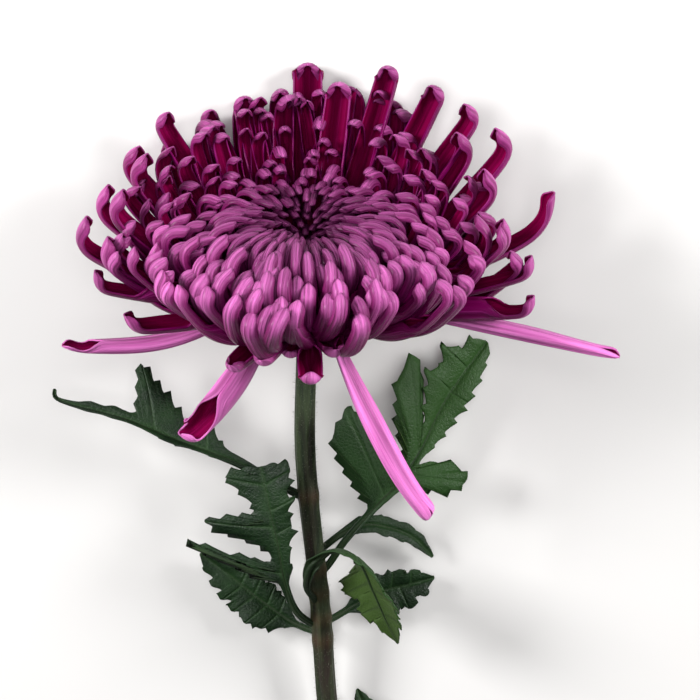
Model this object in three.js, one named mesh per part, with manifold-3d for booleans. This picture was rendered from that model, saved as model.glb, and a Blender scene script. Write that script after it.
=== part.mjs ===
// A single cut chrysanthemum, lying down: one incurved bloom of quilled florets, its green cup of
// bracts, the ribbed stem and the lobed leaves.
// Millimetres, +Z up. X runs across the bloom, Y along the stem towards the bloom, and Z = 0 is the
// surface that the flower lies on.

import * as THREE from 'three';
import { mergeVertices } from 'three/addons/utils/BufferGeometryUtils.js';
import Module from 'manifold-3d';

const wasm = await Module();
wasm.setup();

const { clamp, degToRad, lerp, smoothstep } = THREE.MathUtils;

// Driving dimensions
const RECEPTACLE_HEIGHT = 29.5;
const BLOOM_ELEVATION = 28;
const PETAL_THICKNESS = 1.2;
const STEM_RADIUS = 3.25;
const STEM_RIBS = 6;
const RIB_HEIGHT = 0.12;
const STEM_STEPS = 28;
const LEAF_THICKNESS = 0.8;
const PETIOLE_RADIUS = 1.1;
const MIDRIB_DEPTH = 1.1;

// The florets in the spiral, the share of them that make the disc, and their widths against WIDTH
const FLORETS = 118;
const DISC_SHARE = 0.42;
const DISC_WIDTH_GAIN = 1.4;
const ROW_WIDTH_GAIN = 1.1;
const DISC_STATIONS = 4;
const ROW_STATIONS = 5;
const STRAGGLER_STATIONS = 6;

// How deep a floret's root is sunk in the head
const SUNK_LENGTH = 3.5;

// A floret's width at its foot and how much it narrows to its tip, as shares of its greatest width,
// the length of its rounded tip in widths, and the least it may be half as wide as
const FOOT_WIDTH = 0.42;
const TIP_NARROWING = 0.38;
const TIP_LENGTH = 0.6;
const LEAST_HALF_WIDTH = 0.3;

// How closed a floret is at its foot and at its hooded tip, where 1 is a quill and 0 an open channel,
// how much of its length its mouth opens over, and how deep a closed one is in half widths
const FOOT_CLOSURE = 0.6;
const TIP_CLOSURE = 0.5;
const MOUTH_LENGTH = 0.1;
const QUILL_DEPTH = 1.8;

// The share of the spiral from which florets are quills, and where along its length a quill opens
const QUILLS_FROM = 0.6;
const MOUTH = 0.48;

// How much nearer and lower the outer florets stand at the front, and how much higher at the back
const FRONT_NARROWING = 0.22;
const FRONT_DROP = 3;
const BACK_LIFT = 24;

// How close to the surface a floret's back and its skin come, and over what height they bend
const SURFACE_GAP = 0.2;
const SURFACE_SOFTNESS = 3;
const SKIN_SOFTNESS = 0.8;

// Each next floret stands one golden angle further round
const GOLDEN_ANGLE = 137.50776405;

// How the florets change from the middle of the disc (0) to the outermost row (1): [share, value]
const SEAT_R = [[0, 2], [0.5, 8], [1, 11]];
const SEAT_Z = [[0, 8], [0.5, 5], [1, 0]];
const SHOULDER_R = [
  [0, 3], [0.02, 6], [0.06, 9.5], [0.14, 14], [0.28, 19.5], [0.42, 24],
  [0.52, 28], [0.62, 35], [0.73, 42], [0.86, 51], [1, 59],
];
const SHOULDER_Z = [
  [0, 13], [0.02, 15.5], [0.06, 18.5], [0.14, 22.5], [0.28, 26.5], [0.42, 28],
  [0.52, 27], [0.62, 26], [0.73, 24], [0.86, 22], [1, 19],
];
const BODY_BEND = [[0, 50], [0.42, 60], [0.7, 75], [1, 65]];
const HOOK_BEND = [[0, 95], [0.14, 98], [0.42, 115], [0.7, 100], [1, 90]];
const HOOK_START = [[0, 0.4], [0.14, 0.42], [0.3, 0.5], [0.5, 0.64], [0.7, 0.76], [1, 0.82]];
const WIDTH = [
  [0, 1.5], [0.06, 2.3], [0.14, 2.7], [0.28, 3.4], [0.42, 4.2], [0.5, 4.8], [0.62, 5.5], [1, 6.2],
];
const WILDNESS = [[0, 0.3], [0.42, 0.7], [0.7, 1.1], [1, 1.5]];

// The head that the florets stand on: [radius, height] along the bloom's axis
const HEAD_PROFILE = [
  [0, 0.9], [9, 0.9], [14, 2.5], [22, 5.5], [29, 9.5], [31.5, 13], [30.5, 17], [27, 20.5],
  [23, 22.8], [19.5, 22.6], [14, 19.2], [9.5, 15.4], [6, 12.4], [0, 9],
];
const HEAD_SIDES = 40;
const HEAD_RADIUS = Math.max(...HEAD_PROFILE.map(([r]) => r));
const HEAD_RIM = HEAD_PROFILE.findIndex(([r]) => r === HEAD_RADIUS);
const HEAD_UNDERSIDE = HEAD_PROFILE.slice(0, HEAD_RIM + 1);
const HEAD_TOP = HEAD_PROFILE.slice(HEAD_RIM).reverse();

// The cup under the bloom: [radius, height] along the bloom's axis
const CUP_PROFILE = [[0, -8], [3.4, -8], [5.6, -6.4], [8.4, -3.2], [9.6, -0.6], [9.2, 0.4], [0, 0.4]];
const CUP_SIDES = 20;
const BRACT_ROWS = [
  { count: 8, from: [4.2, -7.6], to: [9.8, -2.4], width: 3.6, lift: 0.9 },
  { count: 10, from: [6.6, -5.2], to: [11.5, -0.55], width: 3.8, lift: 0.7 },
];

// Florets that stand out from the rows, by where each one's shoulder is
const STRAGGLERS = [
  {
    azimuth: -62, shoulder: [41, -41], body: -18, hook: 10, start: 0.6,
    width: 6.4, mouth: 0.93, seat: [12.5, 3.2], sweep: 20,
  },
  {
    azimuth: -129, shoulder: [44.5, -25], body: 14, hook: 50, start: 0.86,
    width: 8.4, mouth: 0.66, seat: [12, 3], sweep: -10,
  },
  {
    azimuth: -13, shoulder: [84.5, -4.6], body: 0, hook: 6, start: 0.85,
    width: 6.4, mouth: 0.9, seat: [14, 3],
  },
  {
    azimuth: -167, shoulder: [66, -6], body: 36, hook: 20, start: 0.84,
    width: 6, mouth: 0.8, seat: [13, 2],
  },
  { azimuth: -156, shoulder: [52, 5], body: 10, hook: 70, start: 0.76, width: 8, mouth: 0.45 },
  { azimuth: -171, shoulder: [59, 11.5], body: 12, hook: 85, start: 0.8, width: 7, mouth: 0.6 },
  { azimuth: 13, shoulder: [71, 17], body: 24, hook: 62, start: 0.7, width: 7.5, mouth: 0.5 },
  { azimuth: -15, shoulder: [65, 8], body: 12, hook: 85, start: 0.82, width: 7, mouth: 0.68 },
  { azimuth: -8, shoulder: [64, 16], body: 16, hook: 85, start: 0.82, width: 7, mouth: 0.5 },
  { azimuth: -87, shoulder: [43, 2], body: 14, hook: 130, start: 0.82, width: 7, mouth: 0.5 },
  { azimuth: 90, shoulder: [58, 49], body: 8, hook: 100, start: 0.88, width: 8.4, mouth: 0.3 },
  {
    azimuth: 104, shoulder: [48, 43], body: 30, hook: 100, start: 0.76,
    width: 7.4, mouth: 0.35, sweep: -6, roll: -25,
  },
  { azimuth: 78, shoulder: [48, 48], body: 12, hook: 95, start: 0.86, width: 8, mouth: 0.35 },
  { azimuth: 64, shoulder: [57, 51], body: 12, hook: 95, start: 0.89, width: 7.4, mouth: 0.35 },
  { azimuth: 50, shoulder: [61, 46], body: 12, hook: 90, start: 0.88, width: 7.4, mouth: 0.35 },
  { azimuth: 38, shoulder: [63, 42], body: 15, hook: 80, start: 0.84, width: 7.4, mouth: 0.4 },
  { azimuth: 26, shoulder: [66, 37], body: 30, hook: 80, start: 0.8, width: 7, mouth: 0.4 },
  { azimuth: 112, shoulder: [53, 42], body: 15, hook: 90, start: 0.86, width: 7.6, mouth: 0.35 },
  { azimuth: 122, shoulder: [58, 37], body: 15, hook: 90, start: 0.86, width: 7.2, mouth: 0.35 },
  { azimuth: 137, shoulder: [60, 39], body: 18, hook: 90, start: 0.84, width: 7.2, mouth: 0.4 },
  { azimuth: 152, shoulder: [60, 32], body: 26, hook: 80, start: 0.8, width: 7, mouth: 0.4 },
  { azimuth: 166, shoulder: [62, 24], body: 30, hook: 70, start: 0.78, width: 6.6, mouth: 0.45 },
  { azimuth: 179, shoulder: [64.5, 20.5], body: 30, hook: 70, start: 0.78, width: 6.6, mouth: 0.45 },
];

// Where the middle of the stem runs, from under the cup to the cut end on the surface
const STEM_PATH = [
  [0, -7.8, 25.3], [-0.2, -16, 22], [-0.8, -40, 18.9], [0.2, -58, 16.7], [2.2, -77, 14.4],
  [3.9, -96, 12.1], [5.6, -122, 9], [9, -150, 6], [12, -177, 3.1],
];

// Each leaf: the points of its midrib, its outline as [share of the length, reach to the left, reach
// to the right], the way its upper face looks at the stem and at the tip, how far its left and right
// halves rise from that face in degrees, how far its lobes lean forward as [share of the length, lean
// on the left, lean on the right], and the height of its waves
const LEAVES = {
  leaf_upper_right: {
    midrib: [
      [7.4, -82, 13.9], [11.4, -71.6, 16.9], [20.9, -60, 17.9], [26.3, -54.5, 16.9], [33.5, -44.7, 13.9],
      [41.4, -29.6, 9.9], [54, -12.5, 4.9],
    ],
    outline: [
      [0.15, 1, 1], [0.27, 1.2, 1.2], [0.285, 2.7, 1.2], [0.3, 9.2, 1.3], [0.312, 17, 1.4],
      [0.322, 22.6, 1.4], [0.33, 27.5, 1.5], [0.338, 28, 1.6], [0.345, 31.5, 1.6], [0.36, 26, 1.6],
      [0.37, 20, 1.6], [0.38, 13.8, 1.8], [0.39, 7.8, 2], [0.4, 4, 3.5], [0.415, 2.4, 6.6],
      [0.425, 2.2, 9.4], [0.432, 2.1, 12.9], [0.445, 2, 17.2], [0.455, 2, 13], [0.465, 2.8, 8.1],
      [0.475, 6, 5.3], [0.485, 11.2, 3.4], [0.5, 16.1, 1.8], [0.515, 19.8, 1.6], [0.53, 20, 1.8],
      [0.54, 12.8, 2], [0.545, 6, 2], [0.552, 3, 2.4], [0.575, 2.2, 3], [0.6, 2.2, 3.6],
      [0.62, 2.6, 4.2], [0.65, 3.6, 5], [0.68, 5.2, 5.6], [0.72, 7.2, 5.8], [0.75, 9, 6],
      [0.78, 11.2, 6.2], [0.82, 7.5, 5.6], [0.88, 11.4, 5], [0.91, 6, 4.4], [0.97, 5.4, 3], [1, 0.5, 0.5],
    ],
    face: [0.1, -0.1, 1], faceTip: [0.3, 0.1, 1], rise: [14, 10], wave: 1.2,
    lean: [
      [0.27, 0, 0.1], [0.322, 0.12, 0.1], [0.33, 0.11, 0.1], [0.345, 0.31, 0.2], [0.36, 0.37, 0.3],
      [0.38, 0.32, 0.4], [0.39, 0.25, 0.5], [0.415, 0.2, 0.3], [0.432, 0.4, 0.36], [0.445, 0.6, 0.58],
      [0.465, 0.6, 1.26], [0.475, 0.6, 1.3], [0.5, 0.69, 0.5], [0.515, 0.84, 0.2], [0.53, 1.3, 0],
      [0.54, 1.7, 0], [0.552, 1.7, 0], [0.575, 1.2, 0], [0.6, 0.3, 0], [0.62, 0, 0], [1, 0.1, 0.1],
    ],
  },
  leaf_upper_left: {
    midrib: [
      [-4.5, -58.6, 17.2], [-10.3, -54, 17.4], [-19.6, -48, 19.4], [-29.7, -43.5, 21.4],
      [-40.1, -39.4, 22.4], [-51.6, -34.4, 22.9], [-60.7, -31.8, 21.9], [-70, -29.6, 20.9],
      [-74, -27.8, 20.7], [-74.2, -25.2, 20.8],
    ],
    outline: [
      [0.12, 1, 1], [0.2, 1.4, 1.6], [0.27, 1.8, 2.2], [0.31, 2.4, 3], [0.345, 2.8, 6], [0.38, 2.6, 10.4],
      [0.41, 2.4, 8.6], [0.435, 2.6, 5.4], [0.46, 3, 7.6], [0.49, 3.6, 10.6], [0.52, 3.2, 13],
      [0.55, 2.8, 15.4], [0.58, 2.4, 18], [0.6, 2.2, 15], [0.615, 2, 11.5], [0.63, 2, 7.5],
      [0.65, 2, 3], [0.68, 1.9, 2], [0.73, 2.4, 2.8], [0.78, 1.5, 1.7], [0.83, 2, 2.2], [0.88, 1.2, 1.2],
      [0.94, 0.8, 0.8], [1, 0.4, 0.4],
    ],
    face: [0.2, 0.8, 0.6], faceTip: [0.2, 0.8, 0.6], rise: [20, 30], wave: 0.8,
    lean: [[0.3, 0.2, 0.25], [0.38, 0.2, 0.34], [0.46, 0.2, 0.55], [0.52, 0.2, 0.7], [0.65, 0.2, 0.72]],
  },
  leaf_middle_left: {
    midrib: [
      [-0.4, -99, 12.6], [-4.2, -92, 17.9], [-6.8, -82, 22.9], [-8.5, -71, 25.4], [-11, -59.5, 26.2],
      [-13.5, -47.5, 25.4],
    ],
    outline: [
      [0.2, 1, 1], [0.35, 1.6, 1.2], [0.385, 14, 2], [0.41, 28, 3], [0.435, 12, 3.4], [0.47, 2.6, 3],
      [0.53, 3.2, 3.6], [0.59, 12, 5], [0.635, 18, 6], [0.68, 20.5, 5.4], [0.72, 9, 6.6], [0.76, 4, 8],
      [0.81, 6.5, 7], [0.86, 9.5, 8.6], [0.9, 12.5, 9], [0.945, 9, 7.6], [0.98, 5, 4.6], [1, 1, 1],
    ],
    face: [-0.2, -0.1, 1], faceTip: [-0.3, 0.2, 1], rise: [2, 6], wave: 1,
    lean: [[0.41, 0.5, 0.4], [0.59, 0.25, 0.4], [0.7, 0.3, 0.4], [0.8, 0.4, 0.4]],
  },
  leaf_lower_left: {
    midrib: [[0.7, -101, 9.8], [-5.6, -98, 7.9], [-14.1, -92, 7.4], [-23.8, -84.2, 6.9], [-33, -77, 7.9]],
    outline: [
      [0.14, 1, 1], [0.2, 4, 3], [0.27, 7.5, 5.5], [0.32, 6.6, 4.6], [0.38, 8.8, 7], [0.44, 7, 5.2],
      [0.5, 8.6, 8], [0.56, 6.2, 5.6], [0.62, 7.6, 7.6], [0.68, 5.2, 5], [0.75, 5.8, 5.6],
      [0.81, 3.8, 3.4], [0.88, 3.6, 3.6], [0.94, 2, 2], [1, 0.4, 0.4],
    ],
    face: [-0.1, 0.2, 1], faceTip: [-0.3, 0.2, 1], rise: [10, 5], wave: 1,
    lean: [[0, 0.3, 0.3]],
  },
  leaf_front: {
    midrib: [
      [3.1, -91, 17.3], [0.2, -85, 20.9], [0.5, -79, 25.9], [3.5, -73.5, 28.4], [9, -71.2, 29.9],
      [15.5, -74.5, 29.9], [19.6, -83.8, 27.9], [23.2, -92.8, 24.9], [27, -101.4, 20.9],
    ],
    outline: [
      [0.1, 1.2, 1.2], [0.24, 2, 2], [0.34, 3, 2.4], [0.42, 5, 4], [0.46, 8.5, 6.5], [0.5, 13, 10],
      [0.54, 13.6, 9], [0.58, 17, 12.5], [0.61, 13.6, 10], [0.65, 14.5, 9], [0.69, 10, 13],
      [0.73, 8, 8.6], [0.78, 9.4, 6.6], [0.82, 6.6, 7], [0.86, 4.5, 4.6], [0.92, 3.4, 3], [1, 0.4, 0.4],
    ],
    face: [0.3, 0.9, 0.5], faceTip: [0.6, 0.4, -0.8], rise: [-10, -10], wave: 0.5,
    lean: [[0.42, 0.4, 0.1], [0.62, 0.45, 0.1], [0.69, 0.45, 0.25], [0.76, 0.45, 0.4]],
  },
  leaf_lower_right: {
    midrib: [[7.5, -97, 9.9], [14, -93, 7.9], [23, -88.8, 6.4], [30.3, -87.1, 5.9], [38.5, -84.9, 5.4]],
    outline: [
      [0.16, 1, 1], [0.24, 3.2, 3.5], [0.32, 5, 6.2], [0.37, 4.2, 7.4], [0.42, 6.4, 5.6], [0.48, 6.8, 7.6],
      [0.53, 4.6, 8.6], [0.59, 6.2, 5.6], [0.66, 6, 7.8], [0.71, 4, 7], [0.78, 5, 4.2], [0.85, 3.4, 4.6],
      [0.92, 2.2, 2.2], [1, 0.4, 0.4],
    ],
    face: [0, 0, 1], faceTip: [0.2, 0, 1], rise: [12, 8], wave: 1,
    lean: [[0, 0.3, 0.3]],
  },
  leaf_middle_right: {
    midrib: [
      [5.7, -74.5, 13.2], [10, -70.4, 11.4], [17.5, -67.6, 10.4], [26, -69.2, 9.4],
      [32.3, -72.4, 7.9], [38, -78.6, 5.4],
    ],
    outline: [
      [0.14, 1, 1], [0.24, 1.8, 2], [0.34, 3, 2.8], [0.42, 2.6, 2.4], [0.5, 3.4, 3.2], [0.57, 2.6, 2.6],
      [0.65, 3.2, 3], [0.73, 2.2, 2.4], [0.81, 2.6, 2.4], [0.88, 1.6, 1.6], [0.94, 1.2, 1.2], [1, 0.4, 0.4],
    ],
    face: [-0.1, 0.5, 0.85], faceTip: [0.4, 0.3, 0.85], rise: [8, 0], wave: 0.8,
    lean: [[0, 0.3, 0.3]],
  },
  leaf_bottom: {
    midrib: [[13.85, -152, 4.9], [16.6, -147, 5.9], [19, -138.5, 6.6], [18.4, -129, 6], [14.8, -120, 4.6]],
    outline: [
      [0.16, 1, 1], [0.26, 2.6, 3.4], [0.34, 4, 5.6], [0.4, 3, 4.6], [0.48, 4.6, 6.2], [0.54, 3.4, 5],
      [0.62, 4.4, 5.8], [0.69, 3, 4.2], [0.78, 3.4, 4.4], [0.85, 2.4, 2.8], [0.92, 2, 2], [1, 0.4, 0.4],
    ],
    face: [-0.2, -0.3, 1], faceTip: [0, -0.1, 1], rise: [12, 12], wave: 0.8,
    lean: [[0, 0.4, 0.4]],
  },
};

// A straight-line function through points [x, y]
function ramp(x, points) {
  if (x <= points[0][0]) return points[0][1];
  for (let i = 1; i < points.length; i += 1) {
    const [x1, y1] = points[i];
    const [x0, y0] = points[i - 1];
    if (x <= x1) return lerp(y0, y1, (x - x0) / (x1 - x0));
  }
  return points.at(-1)[1];
}

// A fixed draw from 0 to 1 for trait k of floret i
function draw(i, k) {
  const value = Math.sin(i * 12.9898 + k * 78.233) * 43758.5453;
  return value - Math.floor(value);
}

// A fixed draw from -1 to 1
const spread = (i, k) => 2 * draw(i, k) - 1;

// One closed body through rings of points. Each four-sided face is split from the ring's point that
// lies on the blade's rim, so that a blade's two faces are split alike.
function loft(rings, rims) {
  const count = rings[0].length;
  const positions = rings.flat().flatMap((p) => [p.x, p.y, p.z]);
  const index = [];
  for (let i = 0; i < rings.length - 1; i += 1) {
    for (let j = 0; j < count; j += 1) {
      const next = (j + 1) % count;
      const a = i * count + j;
      const b = i * count + next;
      const fromNext = rims.includes(next) && !rims.includes(j);
      if (fromNext) index.push(a, b, a + count, b, b + count, a + count);
      else index.push(a, b, b + count, a, b + count, a + count);
    }
  }
  const last = (rings.length - 1) * count;
  for (let j = 1; j < count - 1; j += 1) {
    index.push(0, j + 1, j);
    index.push(last, last + j, last + j + 1);
  }
  const geometry = new THREE.BufferGeometry();
  geometry.setAttribute('position', new THREE.Float32BufferAttribute(positions, 3));
  geometry.setIndex(index);
  return geometry;
}

function solid(geometry) {
  const bare = geometry.clone();
  bare.deleteAttribute('normal');
  bare.deleteAttribute('uv');
  const merged = mergeVertices(bare, 1e-4);
  return new wasm.Manifold(new wasm.Mesh({
    numProp: 3,
    vertProperties: new Float32Array(merged.attributes.position.array),
    triVerts: new Uint32Array(merged.index.array),
  }));
}

// The largest body of a joined solid: loose scraps and sealed hollows are left out
function bodyGeometry(joined) {
  const bodies = joined.decompose();
  const largest = bodies.reduce((a, b) => (a.volume() > b.volume() ? a : b));
  const mesh = largest.getMesh();
  const geometry = new THREE.BufferGeometry();
  geometry.setAttribute('position', new THREE.Float32BufferAttribute(mesh.vertProperties, 3));
  geometry.setIndex([...mesh.triVerts]);
  return geometry;
}

// The bloom's own frame: X right, Y back, Z along its axis, from the head's middle
const bloomFrame = new THREE.Matrix4()
  .makeTranslation(0, 0, RECEPTACLE_HEIGHT)
  .multiply(new THREE.Matrix4().makeRotationX(-degToRad(90 - BLOOM_ELEVATION)));

// A body turned about the bloom's axis
function latheInBloom(profile, sides) {
  const body = new THREE.LatheGeometry(profile.map(([r, z]) => new THREE.Vector2(r, z)), sides);
  return body.rotateX(Math.PI / 2).applyMatrix4(bloomFrame);
}

// What would lie below the surface bends up to lie along it
function lifted(point, lowest, softness) {
  const knee = lowest + softness;
  if (point.z < knee) point.z = lowest + softness * Math.exp((point.z - knee) / softness);
  return point;
}

const CURVE_STEPS = 64;

// The middle line of a floret's back, as a function of the share of its length
function centreline(floret) {
  const heading = (u) => degToRad(floret.body) * smoothstep(u, 0.1, 0.85)
    + degToRad(floret.hook) * smoothstep(u, floret.start, 1);
  const table = [[0, 0]];
  for (let i = 1; i <= CURVE_STEPS; i += 1) {
    const [r, z] = table[i - 1];
    const angle = heading((i - 0.5) / CURVE_STEPS);
    table.push([r + Math.cos(angle) / CURVE_STEPS, z + Math.sin(angle) / CURVE_STEPS]);
  }
  const at = (u) => {
    const x = clamp(u, 0, 1) * CURVE_STEPS;
    const i = Math.min(Math.floor(x), CURVE_STEPS - 1);
    return [lerp(table[i][0], table[i + 1][0], x - i), lerp(table[i][1], table[i + 1][1], x - i)];
  };
  const [shoulderR, shoulderZ] = at((1 + floret.start) / 2);
  const dr = floret.shoulder[0] - floret.seat[0];
  const dz = floret.shoulder[1] - floret.seat[1];
  const length = Math.hypot(dr, dz) / Math.hypot(shoulderR, shoulderZ);
  const turn = Math.atan2(dz, dr) - Math.atan2(shoulderZ, shoulderR);
  return {
    length,
    at: (u) => {
      const [r, z] = at(u);
      return {
        r: floret.seat[0] + length * (r * Math.cos(turn) - z * Math.sin(turn)),
        z: floret.seat[1] + length * (r * Math.sin(turn) + z * Math.cos(turn)),
        angle: heading(u) + turn,
      };
    },
  };
}

// Half the width of a floret at a share of its length
function halfWidth(floret, u, length) {
  const swell = lerp(FOOT_WIDTH, 1, smoothstep(u, 0, 0.55));
  const taper = 1 - TIP_NARROWING * smoothstep(u, 0.62, 1);
  const tip = 1 - (TIP_LENGTH * floret.width) / length;
  const rounding = Math.sqrt(1 - 0.8 * clamp((u - tip) / (1 - tip), 0, 1) ** 2.2);
  return Math.max((swell * taper * rounding * floret.width) / 2, LEAST_HALF_WIDTH);
}

// How closed a floret's tube is: 1 is a quill, 0 an open channel
function closure(floret, u) {
  const body = floret.mouth > 0
    ? 1 - smoothstep(u, floret.mouth, floret.mouth + MOUTH_LENGTH)
    : FOOT_CLOSURE * (1 - smoothstep(u, 0, 0.5));
  return Math.max(body, TIP_CLOSURE * smoothstep(u, 0.85, 1));
}

// The ring of points round a floret: its back, one edge, its inner face and the other edge
function floretRing(floret, line, u) {
  const azimuth = (share) => degToRad(floret.azimuth + floret.sweep * share ** 1.5);
  const place = (share) => {
    const { r, z } = line.at(share);
    const turn = azimuth(share);
    const point = new THREE.Vector3(r * Math.cos(turn), r * Math.sin(turn), z);
    return lifted(point.applyMatrix4(bloomFrame), SURFACE_GAP, SURFACE_SOFTNESS);
  };
  const { angle } = line.at(u);
  const turn = azimuth(u);
  const along = place(Math.min(u + 0.01, 1)).sub(place(u - 0.01)).normalize();
  const inward = new THREE.Vector3(
    -Math.sin(angle) * Math.cos(turn),
    -Math.sin(angle) * Math.sin(turn),
    Math.cos(angle),
  ).transformDirection(bloomFrame);
  inward.addScaledVector(along, -inward.dot(along)).normalize();
  inward.applyAxisAngle(along, degToRad(floret.roll * u));
  const across = new THREE.Vector3().crossVectors(inward, along);
  const half = halfWidth(floret, u, line.length);
  const closed = closure(floret, u);
  const depth = lerp(Math.min(PETAL_THICKNESS, half), QUILL_DEPTH * half, closed);
  const rim = lerp(0.95 * half, half, closed);
  const back = place(u);
  const ring = [
    back.clone(),
    back.clone().addScaledVector(across, half).addScaledVector(inward, rim),
    back.clone().addScaledVector(inward, depth),
    back.clone().addScaledVector(across, -half).addScaledVector(inward, rim),
  ].map((point) => lifted(point, 0, SKIN_SOFTNESS));
  return floret.channelled ? ring : [ring[0], ring[1], ring[3]];
}

const LAST_EMERGENCE = 0.8;

// A floret's share of length where its back comes out of the head
function emergence(line) {
  for (let u = 0.05; u < LAST_EMERGENCE; u += 0.01) {
    const { r, z } = line.at(u);
    if (r > HEAD_RADIUS || z < ramp(r, HEAD_UNDERSIDE) || z > ramp(r, HEAD_TOP)) return u;
  }
  return LAST_EMERGENCE;
}

// Which points of a floret's ring are its edges, in an open channel and in a three-sided ridge
const CHANNEL_RIMS = [1, 3];
const RIDGE_RIMS = [1, 2];

function floretGeometry(floret, stations) {
  const line = centreline(floret);
  const first = Math.max(emergence(line) - SUNK_LENGTH / line.length, 0.02);
  const rings = [];
  for (let i = 0; i < stations; i += 1) {
    const share = i / (stations - 1);
    rings.push(floretRing(floret, line, lerp(first, 1, share + 0.35 * share * (1 - share))));
  }
  return loft(rings, floret.channelled ? CHANNEL_RIMS : RIDGE_RIMS);
}

// The florets of the rows: each one further round and further out than the last
function rowFlorets() {
  const florets = [];
  for (let i = 0; i < FLORETS; i += 1) {
    const share = (i + 0.5) / FLORETS;
    const inDisc = share < DISC_SHARE;
    const gain = inDisc ? DISC_WIDTH_GAIN : ROW_WIDTH_GAIN;
    const wild = ramp(share, WILDNESS);
    const azimuth = -(i * GOLDEN_ANGLE + 5 * wild * spread(i, 1));
    const front = -Math.sin(degToRad(azimuth));
    const edge = smoothstep(share, 0.45, 0.95);
    const narrowing = 1 - FRONT_NARROWING * edge * Math.max(front, 0);
    const lift = edge * (BACK_LIFT * smoothstep(-front, 0.1, 1.2) - FRONT_DROP * Math.max(front, 0));
    florets.push({
      azimuth,
      seat: [ramp(share, SEAT_R), ramp(share, SEAT_Z)],
      shoulder: [
        ramp(share, SHOULDER_R) * (1 + 0.06 * wild * spread(i, 2)) * narrowing,
        ramp(share, SHOULDER_Z) + 1.8 * wild * spread(i, 3) + lift,
      ],
      body: ramp(share, BODY_BEND) * (1 + 0.2 * spread(i, 5)),
      hook: ramp(share, HOOK_BEND) * (1 + 0.2 * wild * spread(i, 6)),
      start: ramp(share, HOOK_START) + 0.04 * spread(i, 7),
      width: gain * ramp(share, WIDTH) * (1 + 0.12 * spread(i, 8)),
      mouth: share > QUILLS_FROM ? MOUTH + 0.14 * spread(i, 4) : 0,
      sweep: 8 * wild * spread(i, 9),
      roll: 14 * wild * spread(i, 10),
      stations: inDisc ? DISC_STATIONS : ROW_STATIONS,
      channelled: !inDisc,
    });
  }
  return florets;
}

function bloomGeometry() {
  const head = latheInBloom(HEAD_PROFILE, HEAD_SIDES);
  const stragglers = STRAGGLERS.map((floret) => (
    { seat: [11, 0], sweep: 0, roll: 0, stations: STRAGGLER_STATIONS, channelled: true, ...floret }
  ));
  const florets = [...rowFlorets(), ...stragglers];
  const parts = florets.map((floret) => solid(floretGeometry(floret, floret.stations)));
  return bodyGeometry(parts.reduce((joined, part) => joined.add(part), solid(head)));
}

// A pointed scale that lies on the cup and stands off it at the tip
function bractGeometry(row, turn) {
  const rings = [];
  for (const [u, share] of [[0, 0.6], [0.5, 1], [1, 0.12]]) {
    const r = lerp(row.from[0], row.to[0], u);
    const z = lerp(row.from[1], row.to[1], u) - 0.6 * Math.sin(Math.PI * u);
    const half = (share * row.width) / 2;
    rings.push([
      [r, -half, z], [r + 0.35 * row.lift, 0, z - row.lift], [r, half, z], [r - 0.2, 0, z + 0.5],
    ].map(([x, y, height]) => new THREE.Vector3(x, y, height)
      .applyAxisAngle(new THREE.Vector3(0, 0, 1), turn).applyMatrix4(bloomFrame)));
  }
  return loft(rings, CHANNEL_RIMS);
}

function cupGeometry() {
  const cup = latheInBloom(CUP_PROFILE, CUP_SIDES);
  const parts = [];
  BRACT_ROWS.forEach((row, k) => {
    for (let i = 0; i < row.count; i += 1) {
      parts.push(solid(bractGeometry(row, ((i + k / 2) / row.count) * 2 * Math.PI)));
    }
  });
  return bodyGeometry(parts.reduce((joined, part) => joined.add(part), solid(cup)));
}

// Smooth curve through points
function smoothPath(points) {
  return new THREE.CatmullRomCurve3(points.map((p) => new THREE.Vector3(...p)), false, 'catmullrom', 0.5);
}

function stemGeometry() {
  const section = new THREE.Shape();
  const corners = [];
  for (let i = 0; i < 2 * STEM_RIBS; i += 1) {
    const turn = (i * Math.PI) / STEM_RIBS;
    const radius = STEM_RADIUS * (i % 2 === 0 ? 1 + RIB_HEIGHT / 2 : 1 - RIB_HEIGHT / 2);
    corners.push(new THREE.Vector2(radius * Math.cos(turn), radius * Math.sin(turn)));
  }
  section.setFromPoints(corners);
  const geometry = new THREE.ExtrudeGeometry(section, {
    steps: STEM_STEPS, extrudePath: smoothPath(STEM_PATH), bevelEnabled: false,
  });
  const position = geometry.attributes.position;
  for (let i = 0; i < position.count; i += 1) position.setZ(i, Math.max(position.getZ(i), 0));
  return geometry;
}

// The ring of points round a leaf: across its upper face from left to right, and back underneath
function leafRing(leaf, path, [u, left, right]) {
  const middle = path.getPointAt(u);
  const along = path.getTangentAt(u);
  const face = new THREE.Vector3(...leaf.face).lerp(new THREE.Vector3(...leaf.faceTip), u);
  face.addScaledVector(along, -face.dot(along)).normalize();
  const across = new THREE.Vector3().crossVectors(face, along);
  const edge = (side, reach, half) => {
    const rise = degToRad(leaf.rise[half]);
    const lean = ramp(u, leaf.lean.map(([share, ...leans]) => [share, leans[half]]));
    return middle.clone()
      .addScaledVector(across, side * reach * Math.cos(rise))
      .addScaledVector(face, reach * Math.sin(rise))
      .addScaledVector(along, lean * (reach - PETIOLE_RADIUS))
      .addScaledVector(face, leaf.wave * Math.sin(6 * Math.PI * u + side) * Math.min(1, reach / 12));
  };
  const leftEdge = edge(1, left, 0);
  const rightEdge = edge(-1, right, 1);
  const ribDepth = MIDRIB_DEPTH * (1 - u);
  const shift = (point, distance) => point.clone().addScaledVector(face, distance);
  const half = LEAF_THICKNESS / 2;
  return [
    shift(leftEdge, half), shift(middle, half), shift(rightEdge, half),
    shift(rightEdge, -half), shift(middle, -half - ribDepth), shift(leftEdge, -half),
  ];
}

const LEAF_RIMS = [0, 2, 3, 5];

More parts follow.
